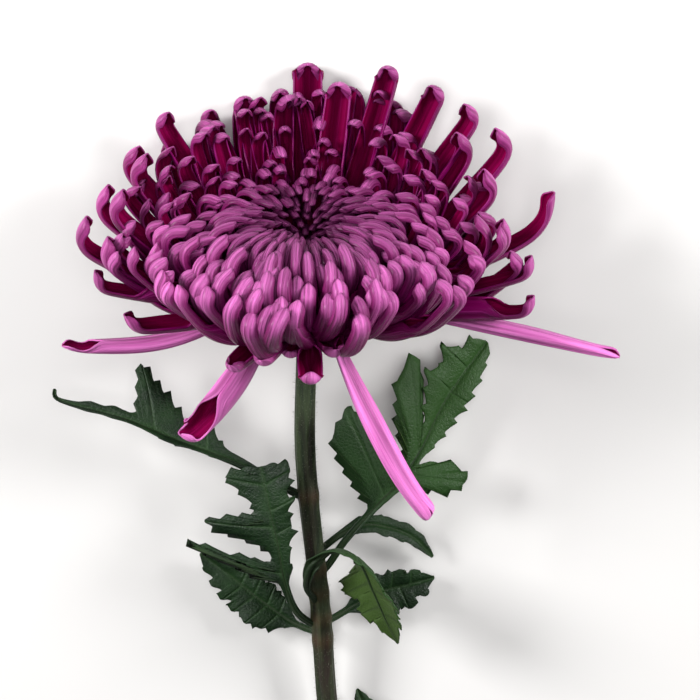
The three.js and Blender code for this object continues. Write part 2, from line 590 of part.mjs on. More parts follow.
function leafGeometry(leaf) {
  const path = smoothPath(leaf.midrib);
  const petiole = [0, 0.5].map((share) => [
    share * leaf.outline[0][0], PETIOLE_RADIUS, PETIOLE_RADIUS,
  ]);
  const rings = [...petiole, ...leaf.outline].map((station) => leafRing(leaf, path, station));
  return loft(rings, LEAF_RIMS);
}

const group = new THREE.Group();
export default group;

function add(name, geometry, color, roughness) {
  const material = new THREE.MeshStandardMaterial({ color, roughness, metalness: 0 });
  const mesh = new THREE.Mesh(geometry, material);
  mesh.name = name;
  group.add(mesh);
}

add('bloom', bloomGeometry(), 0x9c2d6e, 0.45);
add('cup', cupGeometry(), 0x56704a, 0.6);
add('stem', stemGeometry(), 0x67735a, 0.55);
for (const [name, leaf] of Object.entries(LEAVES)) add(name, leafGeometry(leaf), 0x3f5b45, 0.55);

// The origin is under the middle of the whole flower
const box = new THREE.Box3().setFromObject(group);
group.position.set(-(box.min.x + box.max.x) / 2, -(box.min.y + box.max.y) / 2, -box.min.z);
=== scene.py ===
"""A single cut chrysanthemum, lying down: its florets, cup, stem and leaves dressed for their looks.

Shapes are worked out in millimetres in the flower's own frame, with X across the bloom, Y along the
stem towards the bloom and Z up from the surface, and are put into their meshes in metres.
"""

import logging
import math
from dataclasses import dataclass, field
from enum import Enum
from typing import Sequence

import bpy
import numpy as np
from mathutils import Matrix, Vector


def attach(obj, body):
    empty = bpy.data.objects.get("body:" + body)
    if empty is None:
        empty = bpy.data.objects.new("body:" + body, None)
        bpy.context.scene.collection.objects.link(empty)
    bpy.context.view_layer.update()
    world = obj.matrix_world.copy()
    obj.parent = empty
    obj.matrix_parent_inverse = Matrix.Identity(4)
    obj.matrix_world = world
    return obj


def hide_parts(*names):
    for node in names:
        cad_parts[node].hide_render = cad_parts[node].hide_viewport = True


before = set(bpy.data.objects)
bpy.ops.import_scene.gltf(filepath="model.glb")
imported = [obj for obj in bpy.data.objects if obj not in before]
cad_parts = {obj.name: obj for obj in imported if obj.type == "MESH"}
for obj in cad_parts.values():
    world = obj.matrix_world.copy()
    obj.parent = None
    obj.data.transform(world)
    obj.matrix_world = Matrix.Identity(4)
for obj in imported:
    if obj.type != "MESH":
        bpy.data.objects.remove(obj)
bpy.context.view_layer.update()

LOG = logging.getLogger("chrysanthemum")

Colour = tuple[float, float, float, float]
Steps = Sequence[tuple[float, float]]
Point = tuple[float, float, float]

MM = 0.001

# The flower is set down with the middle of its box at the origin: this moves every point of it
SET_DOWN = np.array([-6.7539, 52.7286, -0.0623])

RECEPTACLE_HEIGHT = 29.5
BLOOM_ELEVATION = math.radians(28.0)
GOLDEN_ANGLE = 137.50776405
FLORETS = 420
SKIN_SPECULAR = 0.2
CURVE_STEPS = 64

# The spiral rises at the back and narrows in front, and its florets are widest at the sides
BACK_LIFT, FRONT_LIFT = 24.0, 2.0
FRONT_NARROWING, SIDE_WIDENING = 0.22, 0.2

# A floret's section wraps round by so many degrees where it is a closed quill, and at its foot
QUILL_WRAP, FOOT_WRAP, MOST_HOODED = 357.0, 250.0, 250.0
HOOD_FROM = 0.86
SWELLS_TO, TAPERS_FROM, LEAST_HALF_WIDTH = 0.55, 0.62, 0.12
# Painted highlight: the top of each hook is painted paler over this span of its length, by this much at
# most
CREST_SPAN, CREST_PAINTED_HIGHLIGHT = 0.17, 0.48

# What lies on the surface bends up over this height, first each back and then its skin
SURFACE_GAP, SURFACE_SOFTNESS = 0.2, 3.0
SKIN_GAP, SKIN_SOFTNESS = 0.1, 0.8

# How the florets change from the middle of the disc (0) to the outermost row (1): (share, value)
SEAT_R: Steps = ((0, 2), (0.5, 8), (1, 11))
SEAT_Z: Steps = ((0, 8), (0.5, 5), (1, 0))
SHOULDER_R: Steps = (
    (0, 1.4), (0.02, 4.6), (0.06, 8.8), (0.14, 14), (0.28, 19.5), (0.42, 24),
    (0.52, 28), (0.62, 35), (0.73, 42), (0.86, 51), (1, 59),
)
SHOULDER_Z: Steps = (
    (0, 15), (0.02, 16.4), (0.06, 18.8), (0.14, 22.5), (0.28, 26.5), (0.42, 28),
    (0.52, 27), (0.62, 26), (0.73, 24), (0.86, 22), (1, 19),
)
BODY_BEND: Steps = ((0, 50), (0.42, 60), (0.7, 62), (1, 56))
HOOK_BEND: Steps = ((0, 95), (0.14, 98), (0.42, 112), (0.7, 104), (1, 98))
HOOK_START: Steps = ((0, 0.4), (0.14, 0.42), (0.3, 0.5), (0.5, 0.64), (0.7, 0.76), (1, 0.82))
WIDTH: Steps = (
    (0, 2.4), (0.06, 2.9), (0.14, 3.0), (0.28, 3.2), (0.42, 3.5), (0.5, 4.1), (0.62, 4.8), (1, 5.5),
)
WILDNESS: Steps = ((0, 0.3), (0.42, 0.7), (0.7, 1.1), (1, 1.5))
TAPER: Steps = ((0, 0.38), (0.5, 0.3), (0.8, 0.2), (1, 0.16))

# The fleshy head under the florets: (radius, height) along the bloom's axis
HEAD_PROFILE: Steps = (
    (7, 1.4), (13, 3.2), (20, 6.2), (26, 9.6), (28.5, 13), (27.5, 16), (24, 18.6),
    (19, 19.4), (14, 16.6), (9.5, 13), (5, 9.6), (1.5, 8),
)
CUP_PROFILE: Steps = (
    (2.7, -8.6), (3.7, -8.1), (5.5, -6.6), (7.2, -4.6), (8.4, -3.1), (9.3, -1.2), (9.3, 0.1), (8.2, 0.9),
)

# Where the middle of the stem runs, from under the cup to the cut end on the surface
STEM_PATH: Sequence[Point] = (
    (0, -7.8, 25.3), (-0.2, -16, 22), (-0.8, -40, 18.9), (0.2, -58, 16.7), (2.2, -77, 14.4),
    (3.9, -96, 12.1), (5.6, -122, 9), (9, -150, 6), (12, -177, 3.1),
)

# A stalk's foot is pulled so far towards the stem's middle, and the rest of it less and less
PULL_DEPTH, PULL_POWER = 0.9, 14

# Where a blade without its lobes ends, in millimetres from the midrib
MIDRIB_REACH = 1.1


def ramp(x: float | np.ndarray, steps: Steps) -> float | np.ndarray:
    """A straight-line function.

    Args:
        x: where it is read.
        steps: its corners, as (x, value).

    Returns:
        The value or values at x.
    """
    return np.interp(x, [s[0] for s in steps], [s[1] for s in steps])


def smooth(x: float | np.ndarray) -> float | np.ndarray:
    """A soft step from 0 at x = 0 to 1 at x = 1."""
    x = np.clip(x, 0.0, 1.0)
    return x * x * (3 - 2 * x)


def draw(i: int, k: int) -> float:
    """A fixed draw from 0 to 1 for trait k of thing i."""
    value = math.sin(i * 12.9898 + k * 78.233) * 43758.5453
    return value - math.floor(value)


def spread(i: int, k: int) -> float:
    """A fixed draw from -1 to 1 for trait k of thing i."""
    return 2 * draw(i, k) - 1


def unit(vectors: np.ndarray) -> np.ndarray:
    """The same directions, each one long."""
    return vectors / np.linalg.norm(vectors, axis=-1, keepdims=True)


def from_bloom(points: np.ndarray) -> np.ndarray:
    """Takes points from the bloom's frame (X right, Y back, Z its axis) to the flower's frame.

    Args:
        points: array whose last axis is x, y, z in millimetres.

    Returns:
        The same points in the flower's frame.
    """
    sine, cosine = math.sin(BLOOM_ELEVATION), math.cos(BLOOM_ELEVATION)
    x, y, z = np.moveaxis(points, -1, 0)
    return np.stack([x, y * sine + z * cosine, RECEPTACLE_HEIGHT - y * cosine + z * sine], -1)


def lifted(points: np.ndarray, lowest: float, softness: float) -> np.ndarray:
    """Bends what would lie below the surface up to lie along it.

    Args:
        points: array whose last axis is x, y, z in millimetres.
        lowest: the height that it comes down to.
        softness: the height over which it bends.

    Returns:
        The points, none of them lower than lowest.
    """
    out = points.copy()
    knee = lowest + softness
    low = np.minimum(out[..., 2], knee)
    out[..., 2] = np.where(
        out[..., 2] < knee, lowest + softness * np.exp((low - knee) / softness), out[..., 2]
    )
    return out


@dataclass
class Path:
    """A smooth curve through points, read by the share of its length."""

    points: Sequence[Point]
    table: np.ndarray = field(init=False)
    shares: np.ndarray = field(init=False)
    length: float = field(init=False)

    def __post_init__(self) -> None:
        """Walks the curve once, so that it can be read by length."""
        p = np.array(self.points, float)
        p = np.vstack([2 * p[0] - p[1], p, 2 * p[-1] - p[-2]])
        t = np.linspace(0, 1, 40, endpoint=False)[:, None]
        spans = []
        for a, b, c, d in zip(p, p[1:], p[2:], p[3:]):
            ta, tb = (c - a) / 2, (d - b) / 2
            spans.append(
                b + ta * t + (3 * (c - b) - 2 * ta - tb) * t**2 + (2 * (b - c) + ta + tb) * t**3
            )
        self.table = np.vstack([*spans, p[-2][None]])
        walked = np.concatenate(
            [[0], np.cumsum(np.linalg.norm(np.diff(self.table, axis=0), axis=1))]
        )
        self.length = float(walked[-1])
        self.shares = walked / self.length

    def at(self, u: np.ndarray) -> np.ndarray:
        """The points at shares u of the length."""
        return np.stack([np.interp(u, self.shares, self.table[:, k]) for k in range(3)], -1)

    def heading(self, u: np.ndarray) -> np.ndarray:
        """The directions that the curve runs in at shares u."""
        return unit(self.at(np.minimum(u + 0.004, 1)) - self.at(np.maximum(u - 0.004, 0)))


def select_only(*objects: bpy.types.Object) -> None:
    """Selects these objects alone and makes the first one active."""
    bpy.ops.object.select_all(action="DESELECT")
    for obj in objects:
        obj.select_set(True)
    bpy.context.view_layer.objects.active = objects[0]


def dress(obj: bpy.types.Object, *finishes: bpy.types.Material) -> None:
    """Gives an object its finishes, in order."""
    for finish in finishes:
        obj.data.materials.append(finish)


def join(objects: list[bpy.types.Object], name: str) -> bpy.types.Object:
    """Joins objects into one piece.

    Args:
        objects: what is joined, the first one taking the rest.
        name: the piece's name.

    Returns:
        The joined piece.
    """
    select_only(*objects)
    if len(objects) > 1:
        bpy.ops.object.join()
    objects[0].name = name
    objects[0].data.name = name
    return objects[0]


def thicken(obj: bpy.types.Object, thickness: float, offset: float, rim: int = 0) -> None:
    """Gives a sheet its thickness, its second face taking the piece's second finish.

    Args:
        obj: the sheet.
        thickness: millimetres.
        offset: -1 grows it behind its faces, 1 in front of them.
        rim: which of the piece's finishes its rim takes.
    """
    select_only(obj)
    modifier = obj.modifiers.new("thickness", "SOLIDIFY")
    modifier.thickness = thickness * MM
    modifier.offset = offset
    modifier.material_offset = 1
    modifier.material_offset_rim = rim
    bpy.ops.object.modifier_apply(modifier=modifier.name)


def smooth_shading(obj: bpy.types.Object) -> None:
    """Shades the piece as one soft surface."""
    select_only(obj)
    bpy.ops.object.shade_smooth()


def points_of(obj: bpy.types.Object) -> np.ndarray:
    """The object's points in its own coordinates, one row a vertex."""
    return np.array([v.co for v in obj.data.vertices])


def place(obj: bpy.types.Object, points: np.ndarray) -> None:
    """Puts an object's points where they belong.

    Args:
        obj: the object, which sits at the origin.
        points: one row a vertex, in millimetres in the flower's frame.
    """
    metres = (points + SET_DOWN) * MM
    metres[:, 2] = np.maximum(metres[:, 2], 0.0)
    obj.data.vertices.foreach_set("co", metres.astype(np.float32).ravel())
    obj.data.update()


def copied(pattern: bpy.types.Object, points: np.ndarray) -> bpy.types.Object:
    """Copies an object with its own mesh.

    Args:
        pattern: the object.
        points: where the copy's points belong, as place() takes them.

    Returns:
        The copy.
    """
    obj = pattern.copy()
    obj.data = pattern.data.copy()
    bpy.context.scene.collection.objects.link(obj)
    place(obj, points)
    return obj


def mark(obj: bpy.types.Object, name: str, values: float | np.ndarray) -> None:
    """Writes an attribute that a finish reads.

    Args:
        obj: the object.
        name: the attribute's name.
        values: one value for all its points, or one a point.
    """
    attribute = obj.data.attributes.new(name, "FLOAT", "POINT")
    count = len(obj.data.vertices)
    attribute.data.foreach_set("value", np.broadcast_to(values, count).astype(np.float32))


def hand_over(obj: bpy.types.Object, slot: str, *nodes: str) -> bpy.types.Object:
    """Lets a finished piece stand for its solids.

    Args:
        obj: the piece.
        slot: the record's material slot that its finish is of; not used.
        nodes: the solids that it stands for.

    Returns:
        The piece.
    """
    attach(obj, "root")
    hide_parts(*nodes)
    triangles = sum(len(face.vertices) - 2 for face in obj.data.polygons)
    LOG.info("%s: %d triangles, stands for %s", obj.name, triangles, ", ".join(nodes))
    return obj


def drawn_out(profile: Steps, sides: int) -> bpy.types.Object:
    """Draws a round body out of a disc, ring by ring.

    Args:
        profile: (radius, height) of each ring, from the bottom up.
        sides: how many corners a ring has.

    Returns:
        The body, upright and closed at both ends.
    """
    radius, height = profile[0]
    bpy.ops.mesh.primitive_circle_add(
        vertices=sides, radius=radius, fill_type="NGON", location=(0, 0, height)
    )
    obj = bpy.context.object
    bpy.ops.object.transform_apply(location=True)
    bpy.ops.object.mode_set(mode="EDIT")
    for (r0, z0), (r1, z1) in zip(profile, profile[1:]):
        bpy.ops.mesh.extrude_region_move(TRANSFORM_OT_translate={"value": (0, 0, z1 - z0)})
        if r1 != r0:
            bpy.ops.transform.resize(value=(r1 / r0, r1 / r0, 1))
    bpy.ops.mesh.select_all(action="SELECT")
    bpy.ops.mesh.normals_make_consistent(inside=False)
    bpy.ops.object.mode_set(mode="OBJECT")
    return obj


def on_bloom_axis(profile: Steps, sides: int, name: str) -> bpy.types.Object:
    """Draws a round body as drawn_out() does and sets it on the bloom's axis.

    Args:
        profile: (radius, height) of each ring, from the bottom up.
        sides: how many corners a ring has.
        name: the body's name.

    Returns:
        The body.
    """
    obj = drawn_out(profile, sides)
    place(obj, from_bloom(points_of(obj)))
    return join([obj], name)


@dataclass
class Sheet:
    """A flat sheet of faces, modelled once. Each blade is a copy of it with its own mesh."""

    along: int
    across: int
    pattern: bpy.types.Object = field(init=False)
    rows: np.ndarray = field(init=False)
    columns: np.ndarray = field(init=False)

    def __post_init__(self) -> None:
        """Adds the flat sheet and notes which row and column each of its points is in."""
        bpy.ops.mesh.primitive_grid_add(x_subdivisions=self.along, y_subdivisions=self.across, size=1)
        self.pattern = bpy.context.object
        co = points_of(self.pattern)
        self.rows = np.rint((co[:, 0] + 0.5) * self.along).astype(int)
        self.columns = np.rint((co[:, 1] + 0.5) * self.across).astype(int)

    def blade(self, surface: np.ndarray) -> bpy.types.Object:
        """Copies the sheet and lays it along a surface.

        Args:
            surface: points in millimetres, one row a step along and one column a step across.

        Returns:
            The blade.
        """
        return copied(self.pattern, surface[self.rows, self.columns])

    def discard(self) -> None:
        """Takes the flat sheet away once its blades are made."""
        bpy.data.objects.remove(self.pattern)


@dataclass
class Rod:
    """A straight rod with both ends closed, modelled once. Stalks are copies of it."""

    rings: int
    sides: int
    pattern: bpy.types.Object = field(init=False)
    shares: np.ndarray = field(init=False)
    turns: np.ndarray = field(init=False)

    def __post_init__(self) -> None:
        """Draws the rod and notes the height and the turn of each of its points."""
        self.pattern = drawn_out([(1, k / (self.rings - 1)) for k in range(self.rings)], self.sides)
        co = points_of(self.pattern)
        self.shares = np.clip(co[:, 2], 0, 1)
        self.turns = np.arctan2(co[:, 1], co[:, 0])

    def stalk(
        self, middle: np.ndarray, first: np.ndarray, second: np.ndarray, radius: np.ndarray
    ) -> bpy.types.Object:
        """Copies the rod and bends it along a line.

        Args:
            middle: for each of the rod's points, the middle of its ring in millimetres.
            first: the direction from there that the turn is measured from.
            second: the direction a quarter turn further on.
            radius: how far from the middle the point stands.

        Returns:
            The stalk.
        """
        outward = np.cos(self.turns)[:, None] * first + np.sin(self.turns)[:, None] * second
        return copied(self.pattern, middle + outward * radius[:, None])

    def discard(self) -> None:
        """Takes the straight rod away once its stalks are made."""
        bpy.data.objects.remove(self.pattern)


class Nodes:
    """A material's node tree, put together one node at a time."""

    def __init__(self, name: str) -> None:
        """Starts a material whose surface is one Principled shader.

        Args:
            name: the material's name.
        """
        self.material = bpy.data.materials.new(name)
        self.material.use_nodes = True
        self.tree = self.material.node_tree
        self.surface = self.tree.nodes["Principled BSDF"]

    def put(self, socket: bpy.types.NodeSocket, value: object) -> None:
        """Links a socket to another one, or sets its value.

        Args:
            socket: the one that takes it.
            value: the other socket, or the value.
        """
        if isinstance(value, bpy.types.NodeSocket):
            self.tree.links.new(value, socket)
        else:
            socket.default_value = value

    def add(self, kind: str, inputs: dict[int | str, object], **settings: object) -> bpy.types.Node:
        """Adds a node.

        Args:
            kind: its type.
            inputs: a value or another node's socket for each of its own sockets.
            settings: the node's own choices.

        Returns:
            The node.
        """
        node = self.tree.nodes.new(kind)
        for name, value in settings.items():
            setattr(node, name, value)
        for name, value in inputs.items():
            self.put(node.inputs[name], value)
        return node

    def math(self, operation: str, a: object, b: object = 0.0) -> bpy.types.NodeSocket:
        """The outcome of one sum."""
        return self.add("ShaderNodeMath", {0: a, 1: b}, operation=operation).outputs[0]

    def fit(
        self, value: object, low: float, high: float, to_low: float = 0.0, to_high: float = 1.0
    ) -> bpy.types.NodeSocket:
        """Maps values between low and high to between to_low and to_high, and no further."""
        node = self.add("ShaderNodeMapRange", {0: value, 1: low, 2: high, 3: to_low, 4: to_high})
        return node.outputs[0]

    def mix(self, share: object, a: object, b: object) -> bpy.types.NodeSocket:
        """Colour a turning to colour b as share goes from 0 to 1."""
        node = self.add("ShaderNodeMix", {0: share, 6: a, 7: b}, data_type="RGBA")
        return node.outputs[2]

    def vector(self, x: object, y: object, z: object) -> bpy.types.NodeSocket:
        """Three numbers as a vector."""
        return self.add("ShaderNodeCombineXYZ", {0: x, 1: y, 2: z}).outputs[0]

    def noise(self, vector: object, scale: float, detail: float = 3.0) -> bpy.types.NodeSocket:
        """Cloudy noise from 0 to 1."""
        node = self.add("ShaderNodeTexNoise", {"Vector": vector, "Scale": scale, "Detail": detail})
        return node.outputs[0]

    def attribute(self, name: str) -> bpy.types.NodeSocket:
        """A value that the piece carries on its points."""
        return self.add("ShaderNodeAttribute", {}, attribute_name=name).outputs["Fac"]

    def object_point(self, stretch: Point) -> bpy.types.NodeSocket:
        """The point in the piece's own coordinates, stretched along each axis."""
        coordinates = self.add("ShaderNodeTexCoord", {}).outputs["Object"]
        return self.add("ShaderNodeMapping", {"Vector": coordinates, "Scale": stretch}).outputs[0]

    def along_and_across(self) -> tuple[bpy.types.NodeSocket, bpy.types.NodeSocket]:
        """Reads a blade's own UV map.

        Returns:
            The shares of its length and of its breadth.
        """
        uv = self.add("ShaderNodeUVMap", {}).outputs[0]
        split = self.add("ShaderNodeSeparateXYZ", {0: uv})
        return split.outputs[0], split.outputs[1]

    def finish(
        self, colour: object, roughness: object, height: object, relief: float
    ) -> bpy.types.Material:
        """Sets the surface's colour, roughness and relief.

        Args:
            colour: the base colour.
            roughness: a value, or a socket where it varies.
            height: what the relief follows.
            relief: its depth in millimetres.

        Returns:
            The material.
        """
        bump = self.add("ShaderNodeBump", {"Height": height, "Distance": relief * MM, "Strength": 1.0})
        self.put(self.surface.inputs["Base Color"], colour)
        self.put(self.surface.inputs["Roughness"], roughness)
        self.put(self.surface.inputs["Normal"], bump.outputs[0])
        self.surface.inputs["Specular IOR Level"].default_value = SKIN_SPECULAR
        return self.material


@dataclass(frozen=True)
class PetalFinish:
    """Fresh petal skin with fine lengthwise streaks and grooves, and painted light: paler towards the tip
    and on the hook's top, darker at the foot, the rolled edges and over the disc.
    """

    name: str
    foot: Colour
    body: Colour
    tip: Colour
    streak: Colour
    streaking: float
    painted_highlight_paling: float
    grooves: float
    relief: float
    roughness: float
    shine: Colour
    coat: float
    disc_painted_shade: float
    # How dark the rolled edges are painted against the middle, a painted shade
    sides: float = 0.2
    # How far the tip is painted paler, a painted highlight
    tip_highlight_strength: float = 0.35
    fine_streaks: tuple[float, float] = (2.6, 48.0)
    broad_streaks: tuple[float, float] = (1.7, 9.0)

    def material(self) -> bpy.types.Material:
        """Builds the finish.

        Returns:
            Its material.
        """
        n = Nodes(self.name)
        along, across = n.along_and_across()
        tone, row = n.attribute("tone"), n.attribute("row")
        lane = n.math("ADD", across, n.math("MULTIPLY", tone, 37.0))
        fine, broad = (
            n.noise(n.vector(n.math("MULTIPLY", along, drawn), n.math("MULTIPLY", lane, lanes), tone), 1.0)
            for drawn, lanes in (self.fine_streaks, self.broad_streaks)
        )
        # Painted shade: darker towards the foot, where the florets crowd and hide each other
        lower = n.mix(n.fit(along, 0.15, 0.62), self.foot, self.body)
        aside = n.math("ABSOLUTE", n.math("SUBTRACT", across, 0.5))
        paleness_and_painted_highlight = n.attribute("pale")
        # Painted shade on the rolled edges and painted highlight down the middle, left off on florets
        # painted pale all over
        middle = n.fit(aside, 0.1, 0.4, 1.0, self.sides)
        middle = n.math("MAXIMUM", middle, n.fit(paleness_and_painted_highlight, 0.7, 0.8))
        # Painted highlight: paler towards the tip, where the light falls on the hook
        painted_tip_highlight = n.math("MULTIPLY", n.math("POWER", n.fit(along, 0.66, 1.0), 1.6), self.tip_highlight_strength)
        ground = n.mix(n.math("MULTIPLY", painted_tip_highlight, middle), lower, self.tip)
        streaks = n.math("MULTIPLY", n.fit(fine, 0.5, 0.66), middle)
        streaks = n.math("MULTIPLY", streaks, self.streaking)
        # Painted highlight on the top of the hook, read from the pale attribute
        pale = n.math("MULTIPLY", paleness_and_painted_highlight, middle)
        painted_highlighted = n.mix(n.math("MULTIPLY", pale, self.painted_highlight_paling), ground, self.tip)
        streaked = n.mix(streaks, painted_highlighted, self.streak)
        patched = n.mix(n.fit(broad, 0.4, 0.66, 0.0, 0.6), streaked, self.foot)
        # Random tone, and painted shade darkening the disc's middle rows
        tone_and_painted_shade = n.math(
            "MULTIPLY", n.fit(tone, 0, 1, 0.86, 1.14), n.fit(row, 0.12, 0.72, self.disc_painted_shade, 1)
        )
        toned = n.add("ShaderNodeHueSaturation", {"Value": tone_and_painted_shade, "Color": patched}).outputs[0]
        turns = n.math("MULTIPLY", across, self.grooves * 2 * math.pi)
        wave = n.math("SINE", n.math("ADD", turns, n.math("MULTIPLY", broad, 5.0)))
        height = n.math("ADD", n.math("MULTIPLY", wave, 0.5), fine)
        n.surface.inputs["Specular Tint"].default_value = self.shine
        n.surface.inputs["Coat Weight"].default_value = self.coat
        n.surface.inputs["Coat Roughness"].default_value = 0.22
        rough = n.fit(fine, 0.3, 0.7, self.roughness - 0.06, self.roughness + 0.1)
        return n.finish(toned, rough, height, self.relief)


# In each petal finish the darker foot colour is painted shade, the paler tip colour painted highlight, and
# the disc's darkening painted shade
PETAL_BACK = PetalFinish(
    name="petal_back",
    foot=(0.07, 0.0, 0.024, 1), body=(0.155, 0.0, 0.076, 1), tip=(0.93, 0.27, 0.72, 1),
    streak=(0.62, 0.07, 0.42, 1), streaking=0.45, painted_highlight_paling=1.0, grooves=5, relief=0.32, roughness=0.36,
    shine=(1, 0.2, 0.75, 1), coat=0.09, disc_painted_shade=0.42,
)
PETAL_FACE = PetalFinish(
    name="petal_face",
    foot=(0.05, 0.0, 0.01, 1), body=(0.16, 0.0, 0.035, 1), tip=(0.3, 0.0, 0.09, 1),
    streak=(0.34, 0.01, 0.14, 1), streaking=0.35, painted_highlight_paling=0.0, grooves=4, relief=0.2, roughness=0.6,
    shine=(0.8, 0.02, 0.3, 1), coat=0.0, disc_painted_shade=0.8,
)
HEAD_SKIN = PetalFinish(
    name="head_skin",
    foot=(0.1, 0.001, 0.04, 1), body=(0.16, 0.001, 0.07, 1), tip=(0.16, 0.004, 0.07, 1),
    streak=(0.16, 0.02, 0.08, 1), streaking=0.3, painted_highlight_paling=0.0, grooves=40, relief=0.3, roughness=0.6,
    shine=(0.8, 0.02, 0.4, 1), coat=0.0, disc_painted_shade=1.0,
)


@dataclass(frozen=True)
class StemFinish:
    """Grey-green ribbed skin under fine down, with a purple tinge in its streaks."""

    name: str = "stem_skin"
    green: Colour = (0.006, 0.012, 0.005, 1)
    pale: Colour = (0.03, 0.044, 0.019, 1)
    purple: Colour = (0.022, 0.01, 0.011, 1)
    scar: Colour = (0.1, 0.045, 0.022, 1)
    roughness: float = 0.55
    relief: float = 0.3

    def material(self) -> bpy.types.Material:
        """Builds the finish.

        Returns:
            Its material.
        """
        n = Nodes(self.name)
        long_streaks = n.noise(n.object_point((900, 40, 900)), 1.0)
        tinge = n.noise(n.object_point((160, 22, 160)), 1.0)
        speckle = n.noise(n.object_point((2600, 900, 2600)), 1.0, 2.0)
        rib = n.attribute("rib")
        ground = n.mix(n.fit(long_streaks, 0.35, 0.7), self.green, self.pale)
        ribbed = n.mix(n.fit(rib, -1.0, 1.0, 0.0, 0.5), ground, self.pale)
        tinged = n.mix(n.fit(tinge, 0.48, 0.7, 0.0, 0.75), ribbed, self.purple)
        scarred = n.mix(n.math("MULTIPLY", n.attribute("joint"), 0.28), tinged, self.scar)
        dotted = n.mix(n.fit(speckle, 0.6, 0.72, 0.0, 0.55), scarred, self.pale)
        height = n.math("ADD", long_streaks, n.math("MULTIPLY", speckle, 0.5))
        return n.finish(dotted, self.roughness, height, self.relief)


@dataclass(frozen=True)
class LeafFinish:
    """Leaf skin with veins that the blade carries, a fine net between them, and painted light on the lit
    part of the blade.
    """

    name: str
    dark: Colour
    light: Colour
    # The colour of the lit part of a blade, a painted light
    painted_lit_colour: Colour
    vein: Colour
    veining: float
    roughness: float
    relief: float
    net_scale: float = 900.0

    def material(self) -> bpy.types.Material:
        """Builds the finish.

        Returns:
            Its material.
        """
        n = Nodes(self.name)
        mottle = n.noise(n.object_point((110, 110, 110)), 1.0, 4.0)
        grain = n.noise(n.object_point((1500, 1500, 1500)), 1.0, 2.0)
        cells = n.add(
            "ShaderNodeTexVoronoi",
            {"Vector": n.object_point((1, 1, 1)), "Scale": self.net_scale},
            feature="DISTANCE_TO_EDGE",
        ).outputs[0]
        net = n.fit(cells, 0.0, 0.2, 1.0, 0.0)
        vein = n.attribute("vein")
        painted_light = n.attribute("painted_light")
        ground = n.mix(n.fit(mottle, 0.35, 0.7), self.dark, self.light)
        # Painted light: the lit part of the blade brightened towards its tip
        painted_lit = n.mix(painted_light, ground, self.painted_lit_colour)
        netted = n.mix(n.math("MULTIPLY", net, 0.12), painted_lit, self.vein)
        veined = n.mix(n.math("MULTIPLY", vein, self.veining), netted, self.vein)
        height = n.math(
            "SUBTRACT", n.math("MULTIPLY", grain, 0.5), n.math("ADD", n.math("MULTIPLY", net, 0.3), vein)
        )
        rough = n.fit(mottle, 0.3, 0.7, self.roughness - 0.05, self.roughness + 0.08)
        return n.finish(veined, rough, height, self.relief)


LEAF_UPPER = LeafFinish(
    name="leaf_upper_skin", dark=(0.003, 0.0105, 0.0035, 1), light=(0.008, 0.026, 0.0065, 1),
    painted_lit_colour=(0.03, 0.085, 0.015, 1), vein=(0.028, 0.065, 0.02, 1), veining=0.45, roughness=0.5, relief=0.25,
)
LEAF_UNDER = LeafFinish(
    name="leaf_under_skin", dark=(0.007, 0.018, 0.0055, 1), light=(0.017, 0.034, 0.01, 1),
    painted_lit_colour=(0.06, 0.115, 0.017, 1), vein=(0.012, 0.022, 0.008, 1), veining=0.5, roughness=0.6, relief=0.2,
)


@dataclass(frozen=True)
class PlainFinish:
    """A quiet surface with a slight cloud of tone and a fine grain."""

    name: str
    low: Colour
    high: Colour
    scale: float
    roughness: float
    relief: float

    def material(self) -> bpy.types.Material:
        """Builds the finish.

        Returns:
            Its material.
        """
        n = Nodes(self.name)
        cloud = n.noise(n.object_point((1, 1, 1)), self.scale, 4.0)
        ground = n.mix(n.fit(cloud, 0.3, 0.7), self.low, self.high)
        return n.finish(ground, self.roughness, cloud, self.relief)


BRACT_SKIN = PlainFinish("bract_skin", (0.015, 0.032, 0.012, 1), (0.05, 0.08, 0.03, 1), 700.0, 0.6, 0.15)
DOWN = PlainFinish("down", (0.14, 0.15, 0.11, 1), (0.24, 0.25, 0.19, 1), 900.0, 0.7, 0.02)
PITH = PlainFinish("pith", (0.3, 0.34, 0.18, 1), (0.5, 0.52, 0.34, 1), 1500.0, 0.8, 0.2)
FLOOR_SKIN = PlainFinish("pale_floor", (0.60, 0.59, 0.58, 1), (0.62, 0.61, 0.60, 1), 6.0, 0.9, 0.05)


